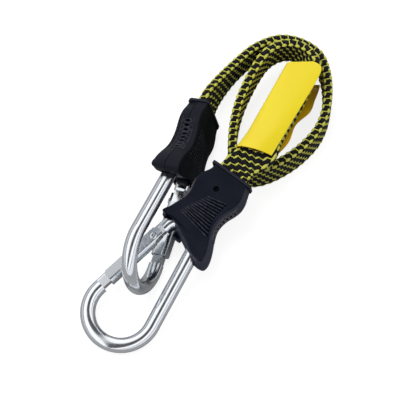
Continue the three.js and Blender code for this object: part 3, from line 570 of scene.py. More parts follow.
across = np.array([0.0, 0.12, 0.29, 0.5, 0.71, 0.88])
round_band = (np.arange(yarn_columns)[:, None] + across).ravel() + 0.5
along_band = np.linspace(0, band_length, band_steps * rows_per_step + 1)
s_grid, v_grid = np.meshgrid(along_band, round_band, indexing="ij")
closed_round = np.append(round_band, round_band[0] + yarn_columns)
woven_band = make_piece(
    "woven_band", [on_band(s_grid, v_grid, pillow(s_grid, v_grid))], black_yarn, "woven_yarn",
    uvs=[crossed(along_band, closed_round * column_width)],
)

# %% [markdown]
# ## The yellow yarns
# Six yellow yarns wind round the band like stairs: half a step along the band on top, where the
# yarn swells to a bright float, then across under the next black yarn, where it is squeezed
# thin. They are real tubes, swept along that staircase on the unrolled band and then carried to
# the bent one, so each catches its own light and casts its own shadow.

# %% Finish of the yellow yarns
yellow_yarn = grained_finish(
    "yellow_yarn", 1.0, (0.52, 0.50, 0.05), (0.86, 0.88, 0.16), (0.6, 0.15), 0.5,
    span=(0.3, 0.72), stretch=(1.2, 9.0, 1.0),
)

# %% The yellow yarns
yarn_count = 6
yarn_sides = 6
yarn_girth = 3.0
stairs = 2 * band_steps
climb_t = np.array([0.06, 0.25, 0.5, 0.75, 0.94])
cross_t = np.array([0.16, 0.38, 0.62, 0.84])
lean = 0.16
corner_stretch = 1.4
bare_end = 1.0


def staircase(yarn):
    """Middle line of one yellow yarn on the unrolled band, with its half sizes and its lift.

    Stair k climbs half a step at the border k + 1/2 of a column and then crosses the column
    k + 1. Each size is a + b sin(pi t) on the climb, so the float is shaped like a lens, with
    larger a and b on the band's corners. On the crossing it is c, and c + d on the band's edge.
    """
    k = np.arange(stairs)[:, None] - 2 * yarn
    column = k % (yarn_columns // 2)
    edge = column == yarn_columns // 2 - 1
    corner = (column == 0) | edge
    every = np.ones((stairs, len(cross_t)))
    longer = np.where(corner, 0.5 + corner_stretch * (climb_t - 0.5), climb_t)
    s = yarn + np.hstack([(k + longer) / 2, (k + 1) / 2 + lean * (cross_t - 0.5) * every])
    v = k + 0.5 + np.hstack([lean * (climb_t - 0.5) * ~corner, cross_t * every])

    def size(on_corner, on_face, crossing, more_on_edge):
        swell = np.sin(math.pi * climb_t)
        climbing = np.where(corner, *(a + b * swell for a, b in (on_corner, on_face)))
        return np.hstack([climbing, crossing * every + more_on_edge * edge * every])

    wide = size((0.44, 0.46), (0.3, 0.3), 0.18, 0.1)
    thick = size((0.22, 0.2), (0.18, 0.2), 0.16, 0.06)
    lift = size((-0.12, 0.14), (-0.24, 0.22), -0.26, 0.2)
    return [part.ravel() for part in (s * step_length, v, wide, thick, lift)]


def yarn_tube(yarn):
    """Grid of points of one yellow yarn, and its map in millimetres along and round.

    Round each place, the ring's point at angle t is moved by wide * cos t square to the way on
    the unrolled band, and lifted by thick * sin t.
    """
    s, v, wide, thick, lift = staircase(yarn)
    inside = (s > bare_end) & (s < band_length - bare_end)
    s, v, wide, thick, lift = (part[inside] for part in (s, v, wide, thick, lift))
    way = unit(np.stack([np.gradient(s), np.gradient(v) * column_width], -1))
    turn = 2 * math.pi * np.arange(yarn_sides) / yarn_sides
    sideways = wide[:, None] * np.cos(turn)
    points = on_band(
        s[:, None] - way[:, 1:] * sideways,
        v[:, None] + way[:, :1] * sideways / column_width,
        lift[:, None] + thick[:, None] * np.sin(turn),
    )
    run = run_along(np.stack([s, v * column_width], -1))
    return points, crossed(run, np.linspace(0, yarn_girth, yarn_sides + 1))


tubes, maps = zip(*(yarn_tube(yarn) for yarn in range(yarn_count)))
yellow_yarns = make_piece("yellow_yarns", tubes, yellow_yarn, "woven_yarn", uvs=maps)

# %% [markdown]
# ## The rubber core
# Inside the sleeve lies a flat bundle of rubber strands. It shows only if the sleeve is cut, so a
# plain bar with the strands as shallow ridges is enough. Then points along the band's middle line,
# and the place of the rear handle's mouth, are worked out.

# %% The rubber core
latex = grained_finish("latex", 300, (0.46, 0.38, 0.25), (0.58, 0.50, 0.36), (0.3, 0.1), 0.6)
core_depth = 1.15
strand_ridge = 0.05
core_round = np.linspace(0, yarn_columns, 48, endpoint=False)
core_along = np.linspace(0.5, band_length - 0.5, 421)
s_grid, v_grid = np.meshgrid(core_along, core_round, indexing="ij")
core_lift = strand_ridge * np.cos(4 * math.pi * v_grid) - core_depth
rubber_core = make_piece(
    "rubber_core", [on_band(s_grid, v_grid, core_lift)], latex, "latex_rubber"
)
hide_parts("band_sleeve")
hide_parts("band_core")
middle_s = np.linspace(0, band_length, 141)
middle = columns_at(middle_s, line_reach, line_centre) * MM
rear_mouth = in_handle(place_rear, [0.0])[0] * MM

# %% [markdown]
# ## The tag
# A strip of bright yellow plastic is folded over the band: a front panel, a short wall down the
# far edge of the band, and a back panel under it. It could be cut flat and bent with a
# simulation, but its two sharp folds are simple arcs, so each row of the sheet is worked out by
# walking across the folds, and the cut edges are set row by row. The sheet's inner side gets a
# deeper, more orange yellow, which is painted shade; the map says which side a point is on.

# %% The tag
vinyl, tree, shader = start_finish("yellow_vinyl", 0.32)
shader.inputs["Coat Weight"].default_value = 0.3
shader.inputs["Coat Roughness"].default_value = 0.15
cloudy = remapped(tree, noise(tree, own_place(tree), 60), 0.3, 0.7, 0.8, 1)
inner_side_painted_shade = add_node(
    tree, "ShaderNodeSeparateXYZ", {"Vector": unrolled_place(tree)}
).outputs["Y"]
share = number(tree, "MULTIPLY", number(tree, "SUBTRACT", 1.0, inner_side_painted_shade), cloudy)
# Painted shade: the inner side, where the share is zero, gets the deeper orange yellow.
two_colours(tree, shader, share, (0.96, 0.56, 0.004), (0.92, 0.75, 0.010))
raised(tree, shader, noise(tree, own_place(tree), 130, 1.0), 0.35, 0.5)

tag_sheet = 0.5
fold_radius = 1.7
tag_fold = np.array([
    [62.9, 87.9, 28.7], [61.6, 85.3, 28.7], [60.2, 82.6, 28.7], [57.6, 77.4, 28.7],
    [52.3, 66.9, 28.8], [47.0, 56.3, 29.2], [41.7, 45.4, 30.6], [35.8, 35.7, 32.1],
])
tag_free = np.array([
    [77.0, 88.3, 28.7], [80.0, 86.3, 28.7], [81.0, 83.1, 28.7], [78.4, 76.7, 28.7],
    [72.6, 65.7, 28.8], [66.7, 55.0, 29.2], [60.4, 42.7, 30.6], [53.7, 29.8, 32.1],
])
tag_down = np.array([24.4, 23.7, 23.0, 20.4, 14.2, 10.0, 8.7, 8.3])
tag_back = np.array([18.8, 19.9, 20.4, 21.0, 23.0, 20.3, 21.2, 17.2])
tag_arch = np.array([0.0, 0.1, 0.2, 0.3, 0.5, 0.8, 1.3, 1.9])
tag_rows = np.linspace(0, 1, 85)
tag_across = np.linspace(0, 1, 73)


def tag_side(side):
    """Points of one side of the folded sheet, which lies half its thickness off the middle.

    Walking in from the free edge, the turn grows from 0 to a quarter in the first fold, stays
    through the wall, and grows to a half in the second fold. The front panel arches by
    4 arch (x - x^2), where x is the share of its width.
    """
    corner, free, down, back, arch = (
        smooth_through(table.reshape(len(table), -1), tag_rows, even_knots=True)
        for table in (tag_fold, tag_free, tag_down, tag_back, tag_arch)
    )
    across = unit(free - corner)
    up = unit(np.array([0, 0, 1]) - across * across[:, 2:])
    width = np.linalg.norm(free - corner, axis=1)[:, None]
    bend = quarter_turn * fold_radius
    front = width - fold_radius
    wall = down - 2 * fold_radius
    at = tag_across * (front + 2 * bend + wall + back - fold_radius)
    past = at - front
    one = quarter_turn * np.clip(past / bend, 0, 1)
    two = quarter_turn * np.clip((past - bend - wall) / bend, 0, 1)
    a = front - np.minimum(at, front) + fold_radius * (2 - np.sin(one) - np.cos(two))
    a = a + np.maximum(past - 2 * bend - wall, 0)
    b = fold_radius * (np.cos(one) - 1 - np.sin(two)) - np.clip(past - bend, 0, wall)
    x = np.clip(1 - at / width, 0, 1)
    b = b + 4 * arch * (x - x * x) * (one + two < 1e-9)
    off = side * tag_sheet / 2
    a = a - off * np.sin(one + two)
    b = b + off * np.cos(one + two)
    return (corner[:, None] + a[..., None] * across[:, None] + b[..., None] * up[:, None]) * MM


tag_grid = np.concatenate([tag_side(1), tag_side(-1)[:, ::-1]], axis=1)
side_columns = np.repeat([0.0, 1.0, 0.0], [len(tag_across), len(tag_across), 1])
tag = make_piece(
    "tag", [tag_grid], vinyl, "yellow_sheet", ends="strip", sharp=50,
    uvs=[crossed(tag_rows, side_columns)],
)
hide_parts("yellow_tag")

# %% [markdown]
# ## The hook rods
# Each hook is one piece of round steel rod, bent in a wide bend that shows and in a small eye
# that lies in the handle. Both ends are pressed flat where the gate's cheeks straddle them. It
# could be a curve with a bevel, but a swept grid lets the rings be squeezed flat at the ends.

# %% Finish of the plated steel
zinc, tree, shader = start_finish("zinc_plate", 0.2, 1.0)
clouds = noise(tree, own_place(tree), 220, 4.0)
roughness_from(tree, shader, clouds, 0.1, 0.22)
two_colours(tree, shader, clouds, (0.78, 0.81, 0.85), (0.89, 0.92, 0.95))
raised(tree, shader, noise(tree, own_place(tree), 900), 0.12, 0.05)

# %% The hook rods
rod_radius = 3.9
bend_radius = 17.3
eye_radius = 9.2
bend_to_eye = 48.1
flare = math.asin((bend_radius - eye_radius) / bend_to_eye)
pin_from_bend = 37.9
nose_end = pin_from_bend - 10.8
nose_shoulder = pin_from_bend - 1.5
nose_chamfer = 0.12
stub_shoulder = -6.7
step_off = 0.02
tip_radius = 3.5
tongue_half = 2.6
tongue_inner = -2.0
gate_line = np.array([math.sin(flare), math.cos(flare)])
gate_out = np.array([math.cos(flare), -math.sin(flare)])
pin_place = bend_radius * gate_out - pin_from_bend * gate_line


def on_gate_line(y):
    """Points of the rod's straight ends at distances from the pin towards the nose."""
    return pin_place + np.asarray(y)[:, None] * gate_line


def rod_line():
    """Middle line of the rod in the end's frame: its points, its ways, and which are pressed flat.

    Straight up the nose, round the wide bend, down the plain leg, round the eye, and up the stub
    to its tip. Both legs are tangents of the two circles, so they lean by the flare. The last
    list holds heights over the pin on the stub's tip, and zero elsewhere.
    """
    nose = np.array([nose_end, nose_end + 0.35, 29.0, 31.0, 33.0, 35.0, nose_shoulder - step_off,
                     nose_shoulder, pin_from_bend - 0.7])
    tip = tip_radius * np.sin(np.radians([15, 30, 45, 58, 70, 79]))
    stub = np.array([
        -8.6, -7.6, stub_shoulder, stub_shoulder + step_off, -5.0, -3.0, -1.0, 0.0, *tip
    ])
    wide = np.linspace(-flare, math.pi + flare, 90)
    small = np.linspace(math.pi + flare, 2 * math.pi - flare, 50)
    bend = bend_radius * circle(wide)
    eye = eye_radius * circle(small) - [0, bend_to_eye]
    leg = bend[-1] + np.linspace(0, 1, 14)[1:-1, None] * (eye[0] - bend[-1])
    ways = np.concatenate([
        np.tile(gate_line, (len(nose), 1)),
        circle(wide + quarter_turn),
        np.tile(unit(eye[0] - bend[-1]), (len(leg), 1)),
        circle(small + quarter_turn),
        np.tile(gate_line, (len(stub), 1)),
    ])
    between = np.zeros(len(bend) + len(leg) + len(eye))
    clear = step_off / 2
    pressed = np.concatenate([nose < nose_shoulder - clear, between, stub > stub_shoulder + clear])
    past_pin = np.concatenate([0 * nose, between, np.maximum(stub, 0)])
    line = np.concatenate([on_gate_line(nose), bend, leg, eye, on_gate_line(stub)])
    return line, ways, pressed[:, None] > 0, past_pin[:, None]


def rod_grid(rod_sides=48):
    """Rings of the rod: circles, clipped to the tongues' flats where an end is pressed flat.

    Past the pin the stub's width follows its round tip, x = root(r^2 - height^2).
    """
    line, ways, pressed, past_pin = rod_line()
    turn = 2 * math.pi * (np.arange(rod_sides) + 0.5) / rod_sides
    x, z = rod_radius * np.cos(turn), rod_radius * np.sin(turn)
    z = np.where(pressed, np.clip(z, -tongue_half, tongue_half), z)
    x = np.where(pressed, np.maximum(x, tongue_inner), x)
    room = np.sqrt(tip_radius**2 - past_pin**2)
    tipped = pressed & (np.arange(len(line))[:, None] > len(line) / 2)
    x = np.where(tipped, np.clip(x, -room, room), x)
    whole = np.ones((len(line), 1))
    whole[0] -= nose_chamfer
    side = np.stack([ways[:, 1], -ways[:, 0]], -1)
    flat = line[:, None] + (x * whole)[..., None] * side[:, None]
    return np.concatenate([flat, (z * whole)[..., None]], -1)


at_both_ends("hook_steel", rod_grid(), zinc, "zinc_steel", "hook_rod", sharp=38)

# %% [markdown]
# ## The rivets
# A rivet is turned: one profile, carried round its axis. The profile is a low dome with a small
# dimple from the setting tool, so the head catches a ring of light.

# %% The rivets
rivet_head = np.array([
    [1.3, 4.4], [1.9, 4.42], [1.86, 4.62], [1.6, 4.88], [1.1, 5.06], [0.55, 5.1], [0.35, 5.0],
    [0.02, 5.02],
])
rivet_profile = np.concatenate([rivet_head[::-1] * [1, -1], rivet_head])


def turned(profile, steps=40):
    """A profile of (radius, height) carried round Z: x = r cos t, y = r sin t, z = height."""
    t = 2 * math.pi * np.arange(steps) / steps
    r, h = profile[:, :1], profile[:, 1:]
    return np.stack([r * np.cos(t), r * np.sin(t), h + 0 * t], -1)


def from_gate(points):
    """Points of the gate's frame, X out of the hook and Y up to the nose, in the end's frame."""
    flat = points[..., :1] * gate_out + points[..., 1:2] * gate_line + pin_place
    return np.concatenate([flat, points[..., 2:]], -1)


rivet = from_gate(turned(rivet_profile))
at_both_ends("rivet", rivet, zinc, "zinc_steel", "gate_rivet", sharp=50)

# %% [markdown]
# ## The gate springs
# A small compression spring inside the channel keeps the gate shut. It is a helix: its middle
# line goes round the gate's axis while it climbs, and a small ring follows it.

# %% The gate springs
spring_steel = grained_finish(
    "spring_steel", 700, (0.38, 0.40, 0.43), (0.52, 0.54, 0.57), (0.2, 0.03), 0.35, 1.0
)


def helix(radius, wire, turns, start, length, steps=24, wire_sides=8):
    """Grid of a coil spring along Y: the middle line is (r cos t, start + rise t, r sin t)."""
    t = np.linspace(0, 2 * math.pi * turns, int(turns * steps) + 1)
    out = np.stack([np.cos(t), 0 * t, np.sin(t)], -1)
    middle = radius * out
    middle[:, 1] = start + length * t / t[-1]
    way = unit(np.gradient(middle, axis=0))
    over = np.cross(way, out)
    b = 2 * math.pi * np.arange(wire_sides) / wire_sides
    ring = out[:, None] * np.cos(b)[:, None] + over[:, None] * np.sin(b)[:, None]
    return middle[:, None] + wire / 2 * ring


coil = helix(radius=1.85, wire=0.7, turns=6, start=4.15, length=9.4) + [0.3, 0, 0]
at_both_ends(
    "spring", from_gate(coil), spring_steel, "clamp_steel", "gate_spring", on_gate=True
)

# %% [markdown]
# ## The gates
# A gate is folded from sheet: a web on the inner side of the hook and two cheeks that straddle
# the rod's flat ends. The flat blank's outline is bent by following a U-shaped profile, and each
# line of the blank has its own start and end, so the cheeks reach past the pin and the web stops
# short of it.

# %% The gates
brushed, tree, shader = start_finish("brushed_zinc", 0.3, 1.0)
clouds = noise(tree, own_place(tree), 260, 4.0)
roughness_from(tree, shader, clouds, 0.2, 0.34)
two_colours(tree, shader, clouds, (0.66, 0.70, 0.74), (0.82, 0.86, 0.90))
raised(tree, shader, clouds, 0.15, 0.05)

gate_depth = 3.5
gate_half = 4.1
gate_sheet = 1.1
gate_top = 31.3
cheek_radius = 4.8
web_start = 1.2
corner_cut = 1.4
fold = 2.3


def gate_profile():
    """The U from one cheek's free edge over the web to the other's: places and outward ways."""
    edge = np.linspace(gate_depth, fold - gate_depth, 16)
    arc = np.radians(np.linspace(0, 90, 10))[1:-1]
    web = np.linspace(-1, 1, 14) * (gate_half - fold)
    cheek = np.stack([edge, -gate_half + 0 * edge], -1)
    round_way = np.stack([-np.sin(arc), -np.cos(arc)], -1)
    first = fold - np.array([gate_depth, gate_half]) + fold * round_way
    flat = np.stack([-gate_depth + 0 * web, web], -1)
    low_side = np.concatenate([cheek, first])
    low_ways = np.concatenate([np.tile([0.0, -1.0], (len(edge), 1)), round_way])
    mirror = [1, -1]
    places = np.concatenate([low_side, flat, low_side[::-1] * mirror])
    ways = np.concatenate([low_ways, np.tile([-1.0, 0.0], (len(web), 1)), low_ways[::-1] * mirror])
    return places, ways


def gate_grid():
    """Outer and inner side of the folded blank: each line runs from its low end to its top.

    On a cheek the low end is round the pin, y = -root(r^2 - (1.1 x)^2); on the web it is a
    straight cut. The top is straight, with the cheeks' outer corners taken off.
    """
    places, ways = gate_profile()
    x, z = places[:, 0], places[:, 1]
    low = -np.sqrt(np.maximum(cheek_radius**2 - (x * 1.1) ** 2, 0))
    web_share = 1 - soft_step(x, 0.7 - gate_depth, 1.6 - gate_depth)
    low = low + (web_start - low) * web_share
    top = gate_top - corner_cut * np.clip((x - 2.0) / 1.5, 0, 1) ** 2
    share = np.concatenate([
        np.linspace(0, 0.2, 14), np.linspace(0.2, 0.94, 20)[1:], np.linspace(0.94, 1, 6)[1:]
    ])
    y = low + share[:, None] * (top - low)
    outer = np.stack([0 * y + x, y, 0 * y + z], -1)
    inward = gate_sheet * np.stack([ways[:, 0], 0 * x, ways[:, 1]], -1)
    return np.concatenate([outer, (outer - inward)[:, ::-1]], axis=1)


channels = at_both_ends(
    "gate_channel", from_gate(gate_grid()), brushed, "zinc_steel", "gate", on_gate=True,
    ends="strip", sharp=40,
)
for made in channels:
    edges = made.modifiers.new("worn_edges", "BEVEL")
    edges.width = 0.22 * MM
    edges.segments = 2
    edges.limit_method = "ANGLE"
    edges.angle_limit = math.radians(50)

# %% [markdown]
# ## The handles
# A handle is two moulded half shells of hard black nylon. Seen from its face, each has an outline
# like a butterfly with one long wing. It could be traced point by point, but a smooth line
# through a few places has a clean direction everywhere, so the wall and the rounded edge can be
# drawn in from it. Where it bends tightly there is little room, and the inset has to stay in it.

# %% The handle's outline
grip_half_width = 17.5
grip_length = 48.6
mouth_half_thickness = 5.6
hook_half_thickness = 8.1
face_wall_slope = 1.5
back_wall_slope = 0.3
edge_round = 0.9
shell_wall = 1.5
outline_shares = np.array([
    [0.549, 0.025], [0.594, 0.082], [0.697, 0.154], [0.749, 0.237], [0.709, 0.319],
    [0.646, 0.401], [0.657, 0.484], [0.726, 0.566], [0.817, 0.658], [0.886, 0.733],
    [0.851, 0.774], [0.72, 0.782], [0.514, 0.79], [0.286, 0.821], [0.0, 0.868],
    [-0.286, 0.918], [-0.486, 0.963], [-0.686, 0.992], [-0.914, 1.0], [-1.08, 0.979],
    [-1.12, 0.918], [-1.063, 0.833], [-0.949, 0.741], [-0.811, 0.648], [-0.731, 0.566],
    [-0.72, 0.484], [-0.766, 0.401], [-0.857, 0.319], [-0.909, 0.237], [-0.891, 0.154],
    [-0.823, 0.082], [-0.766, 0.025],
])
outline_end = len(outline_shares) - 1
outline_at = np.linspace(0, outline_end, 40 * outline_end + 1)
outline_line = smooth_through(
    outline_shares * [grip_half_width, grip_length], outline_at / outline_end, even_knots=True
)
outline_way = unit(np.gradient(outline_line, axis=0))
outline_out = np.stack([outline_way[:, 1], -outline_way[:, 0]], -1)
outline_out[[0, -1]] = [[1, 0], [-1, 0]]


def room_inside():
    """Radius of the largest circle inside the outline that touches it at each of its points.

    A circle through a point p with the centre on the inward normal also passes through q when
    its radius is |q - p|^2 / (2 depth), where depth is how far q lies inwards of p.
    """
    apart = outline_line[None] - outline_line[:, None]
    depth = -np.sum(apart * outline_out[:, None], axis=2)
    radius = np.sum(apart**2, axis=2) / (2 * np.maximum(depth, 1e-6))
    largest = np.where(depth > 0.002, radius, grip_half_width).min(axis=1)
    return np.minimum(largest, grip_half_width)


def low_and_smooth(values, reach):
    """The lowest value within the reach on both sides, and then the mean of those over it."""
    for over_window in (np.min, np.mean):
        padded = np.pad(values, reach, mode="edge")
        windows = np.lib.stride_tricks.sliding_window_view(padded, 2 * reach + 1)
        values = over_window(windows, axis=1)
    return values


outline_room = low_and_smooth(room_inside(), 36)
print("the tightest bend of the outline has a radius of", round(outline_room.min(), 1), "mm")


def half_thickness(y):
    """Height of the face over the parting plane, growing evenly from the mouth to the hook end."""
    return mouth_half_thickness + (hook_half_thickness - mouth_half_thickness) * y / grip_length


def drawn_in(at, inset, most):
    """Points of the outline, drawn in by the inset, but by no more than a share of the room.

    The wall at the hook's end leans in a little more than the others.
    """
    line, out = (columns_at(at, outline_at, table) for table in (outline_line, outline_out))
    near_hook = soft_step(line[..., 1] / grip_length, 0.7, 0.9)
    more = 1 + 0.15 * np.maximum(out[..., 1], 0) * near_hook
    by = np.minimum(inset * more, most * np.interp(at, outline_at, outline_room))
    moved = line - out * by[..., None]
    return moved[..., 0], moved[..., 1]

# %% [markdown]
# ## The handle's relief
# A shallow bed is sunk in the face, and fine ribs fan out in it from a point beside the handle.
# The waist has a row of small pits. Ribs drawn as heights of a grid would need a very fine grid,
# because they lie slantwise across it, so each rib is a bar of its own; the bed, the face hole and
# the pits are broad enough to be heights.

# %% The handle's relief
loop_pitch = 2.3
loop_first = 15.2
loop_last = 31.3
loop_height = 2.45
rail_height = 3.5
row_margin = 1.2
rib_centre = np.array([39.1, 26.0])
rib_turns = np.array([-0.225, 0.165])
rib_count = 12
rib_depth = 0.45
rib_width = 0.72
rib_foot = -0.4
rib_rise = 0.48
face_hole = np.array([-0.3, 11.5])
hole_radius = 1.5
hole_depth = 1.3


def rib_ends(y):
    """Where the ribs at this y end, on the waist's side and on the gate's side."""
    waist_side = np.interp(y, [14.0, 19.5, 24.0, 28.0, 34.0], [-10.5, -9.7, -9.3, -10.0, -12.6])
    return waist_side, np.interp(y, [14.0, 22.0, 32.0], [-0.5, 3.6, 8.2])


def face_relief(x, y, with_hole):
    """Height of the face over its plane: a shallow bed for the ribs, and a pit for the hole.

    The bed spans the angles of the ribs, seen from the centre of their fan. It runs out softly
    towards the gate's side.
    """
    angle = np.arctan2(y - rib_centre[1], rib_centre[0] - x)
    margin = 0.5 * (rib_turns[1] - rib_turns[0]) / (rib_count - 1)
    rows = soft_step(angle, rib_turns[0] - margin, rib_turns[0] - 0.5 * margin) * (
        1 - soft_step(angle, rib_turns[1] + 0.5 * margin, rib_turns[1] + margin)
    )
    low, high = rib_ends(y)
    bed = rows * soft_step(x, low - 0.3, low + 0.3) * (1 - soft_step(x, high - 7.0, high))
    from_hole = np.hypot(x - face_hole[0], y - face_hole[1])
    hole = with_hole * (1 - soft_step(from_hole, hole_radius - 0.3, hole_radius))
    return -rib_depth * bed - hole_depth * hole


def rib_grid(turn, half):
    """One rib, a bar that runs out at this angle from the centre of the fan.

    A place on it is centre + reach (-cos t, sin t) + aside (sin t, cos t). Its section is a
    square with soft corners that stands in the bed, and both ends taper.
    """
    def on_ray(reach, aside):
        return (rib_centre[0] - reach * math.cos(turn) + aside * math.sin(turn),
                rib_centre[1] + reach * math.sin(turn) + aside * math.cos(turn))

    reach = np.linspace(25, 62, 600)
    x, y = on_ray(reach, 0.0)
    low, high = rib_ends(y)
    inside = reach[(x > low + 0.3) & (x < high)]
    r = np.linspace(inside[0], inside[-1], 36)[:, None]
    taper = np.clip(np.minimum(r - r[0], r[-1] - r) / 0.6 + 0.25, 0, 1)
    wide, high = soft_square(12, 0.5)
    x, y = on_ray(r, rib_width / 2 * taper * wide)
    z = half_thickness(y) + rib_foot + rib_rise * taper * high
    return np.stack([x, y - mouth_to_bend, -z if half == "back" else z], -1)


def pit_share(y, z):
    """One inside the loops of the waist, where |z| < height |cos(pi (y - first) / pitch)|."""
    reach = loop_height * np.abs(np.cos(math.pi * (y - loop_first) / loop_pitch))
    rows = soft_step(y, loop_first - row_margin, loop_first - row_margin + 0.1) * (
        1 - soft_step(y, loop_last + row_margin - 0.1, loop_last + row_margin)
    )
    return soft_step(reach - np.abs(z), 0.0, 0.5) * rows

# %% [markdown]
# ## The half shells
# Each half shell is one grid, like a ladder: its rungs are sections that join a place on the left
# side of the outline with one on the right, from the mouth to the tip of the long wing. A section
# goes up the sloped wall, round the edge, over the face, down, and back along the inside. A
# carved solid would need cuts; here each opening is only a higher start of the wall.

# %% The half shells
ladder_left = np.arange(19.0)
ladder_right = np.array([31, 30, 29, 28, 27, 26, 25, 24, 23, 22.2, 21.8, 21.5, 21.2, 20.9, 20.4,
                         19.9, 19.3, 18.6, 18])
shell_rows = 180
wall_levels = 15
face_columns = 96
outer_share = 0.72
inner_share = 0.86
edge_turns = np.radians([18, 36, 54, 72, 90])
parting_gap = 0.15
openings_from = 36.5
leg_from = 43.5
leg_place = np.array([-9.07, 40.45])
leg_lean = 0.1707
leg_room = 4.35
stub_middle = 8.85
stub_room = 4.25
stub_height = {"face": 4.9, "back": 5.4}
lug_middle = 1.85
lug_room = 2.8
lug_top = 1.0
pit_depth = 0.55
pits_to = 33.0
lug_level = -2.8
lug_half_width = 2.35
lug_half_height = 3.4
wall_slopes = {"face": face_wall_slope, "back": back_wall_slope}


def ladder():
    """Places on the left and right side of the outline that are joined by each section."""
    left = np.linspace(0, ladder_left[-1], 2001)
    right = np.interp(left, ladder_left, ladder_right)
    steps = [
        np.diff(run_along(columns_at(side, outline_at, outline_line))) for side in (left, right)
    ]
    run = np.concatenate([[0], np.cumsum(np.maximum(*steps))])
    even = np.interp(np.linspace(0, run[-1], shell_rows), run, left)
    return even, np.interp(even, ladder_left, ladder_right)


def wall_bottom(x, y, half):
    """Height at which the wall starts: over the parting gap, the plain leg, the stub and the lug.

    Over the leg it is the arch root(r^2 - (x - leg)^2) round the leg's middle line.
    """
    leg = leg_place[0] - leg_lean * (y - leg_place[1])
    arch = np.sqrt(np.maximum(leg_room**2 - (x - leg) ** 2, 0)) * (y > leg_from) * (x > -15)

    def opening(middle, room, height):
        return height * np.clip((room - np.abs(x - middle)) / 0.25, 0, 1) * (y > openings_from)

    return np.maximum.reduce([
        parting_gap + 0 * x, arch, opening(stub_middle, stub_room, stub_height[half]),
        opening(lug_middle, lug_room, lug_top),
    ])


def shell_side(at, half):
    """Rows of points from the wall's bottom up to the face's edge, on the outer and inner side.

    The wall is drawn in by slope * z / shoulder, and past the shoulder a quarter circle adds
    r (1 - cos t) to the inset and r sin t to the height. The inner side keeps the shell's wall.
    """
    slope = wall_slopes[half]
    x, y0 = drawn_in(at, 0.0, outer_share)
    bottom = wall_bottom(x, y0, half)[:, None]
    at, y0 = at[:, None], y0[:, None]
    top = half_thickness(y0)
    shoulder = top - edge_round
    share = np.linspace(0, 1, wall_levels)
    rounding = np.concatenate([0 * share, edge_round * (1 - np.cos(edge_turns))])
    z = np.hstack([
        bottom + share * (shoulder - bottom), shoulder + edge_round * np.sin(edge_turns)
    ])
    pits = pit_depth * pit_share(y0, z) * (z < shoulder) * (y0 < pits_to)
    inset = slope * np.minimum(z / shoulder, 1) + rounding + pits
    x, y = drawn_in(at, inset, outer_share)
    outer = np.stack([x, y, np.where(z > shoulder, z - top + half_thickness(y), z)], -1)
    ceiling = top - shell_wall
    z = np.hstack([bottom + share * (ceiling - bottom), ceiling + 0 * edge_turns])
    z = np.minimum(z, ceiling)
    inset = shell_wall + slope * np.minimum(z / shoulder, 1) + rounding
    x, y = drawn_in(at, inset, inner_share)
    inner = np.stack([x, y, np.where(z >= ceiling, half_thickness(y) - shell_wall, z)], -1)
    return outer, inner


def shell_grid(half):
    """Grid of one half shell: each row goes up one side, over the face, down, and back inside."""
    layers = zip(*(shell_side(at, half) for at in ladder()))
    share = np.linspace(0, 1, face_columns + 2)[1:-1, None]
    outer, inner = (
        np.concatenate([up, up[:, -1:] + share * (down[:, -1:] - up[:, -1:]), down[:, ::-1]], 1)
        for up, down in layers
    )
    side_columns = wall_levels + len(edge_turns)
    on_face = slice(side_columns, -side_columns)
    x, y = outer[:, on_face, 0], outer[:, on_face, 1]
    outer[:, on_face, 2] = half_thickness(y) + face_relief(x, y, half == "face")
    inner[:, on_face, 2] = half_thickness(inner[:, on_face, 1]) - shell_wall
    grid = np.concatenate([outer, inner[:, ::-1]], axis=1)
    return (grid - [0, mouth_to_bend, 0]) * [1, 1, -1 if half == "back" else 1]


def lug_grid():
    """The lug beside the stub, a bar along Y with rounded corners, closed at both ends."""
    y = np.array([37.0, 41.0, 43.0, 43.3, 43.5])[:, None] - mouth_to_bend
    shrunk = np.array([0.0, 0.0, 0.0, 0.1, 0.35])[:, None]
    wide, high = soft_square(24, 0.35)
    x = lug_middle + (lug_half_width - shrunk) * wide
    return np.stack([x, y + 0 * x, lug_level + (lug_half_height - shrunk) * high], -1)


print("one half shell is a grid of", shell_grid("face").shape[:2], "points")

# %% [markdown]
# ## The finishes of the handles
# The nylon is satin and nearly black. Its walls get a lighter colour than the face, which is
# painted light, and the bed, the hole and the pits are painted black, which is painted shade. These
# parts could be painted on a map, but the finish works them out from a place in the handle's own
# millimetres, and from the way the surface faces.

# %% Finish of the handles
def along_axis(tree, vector, axis):
    """How far a wired vector reaches along an axis: their dot product."""
    return add_node(
        tree, "ShaderNodeVectorMath", {0: vector, 1: tuple(axis)}, operation="DOT_PRODUCT"
    ).outputs["Value"]


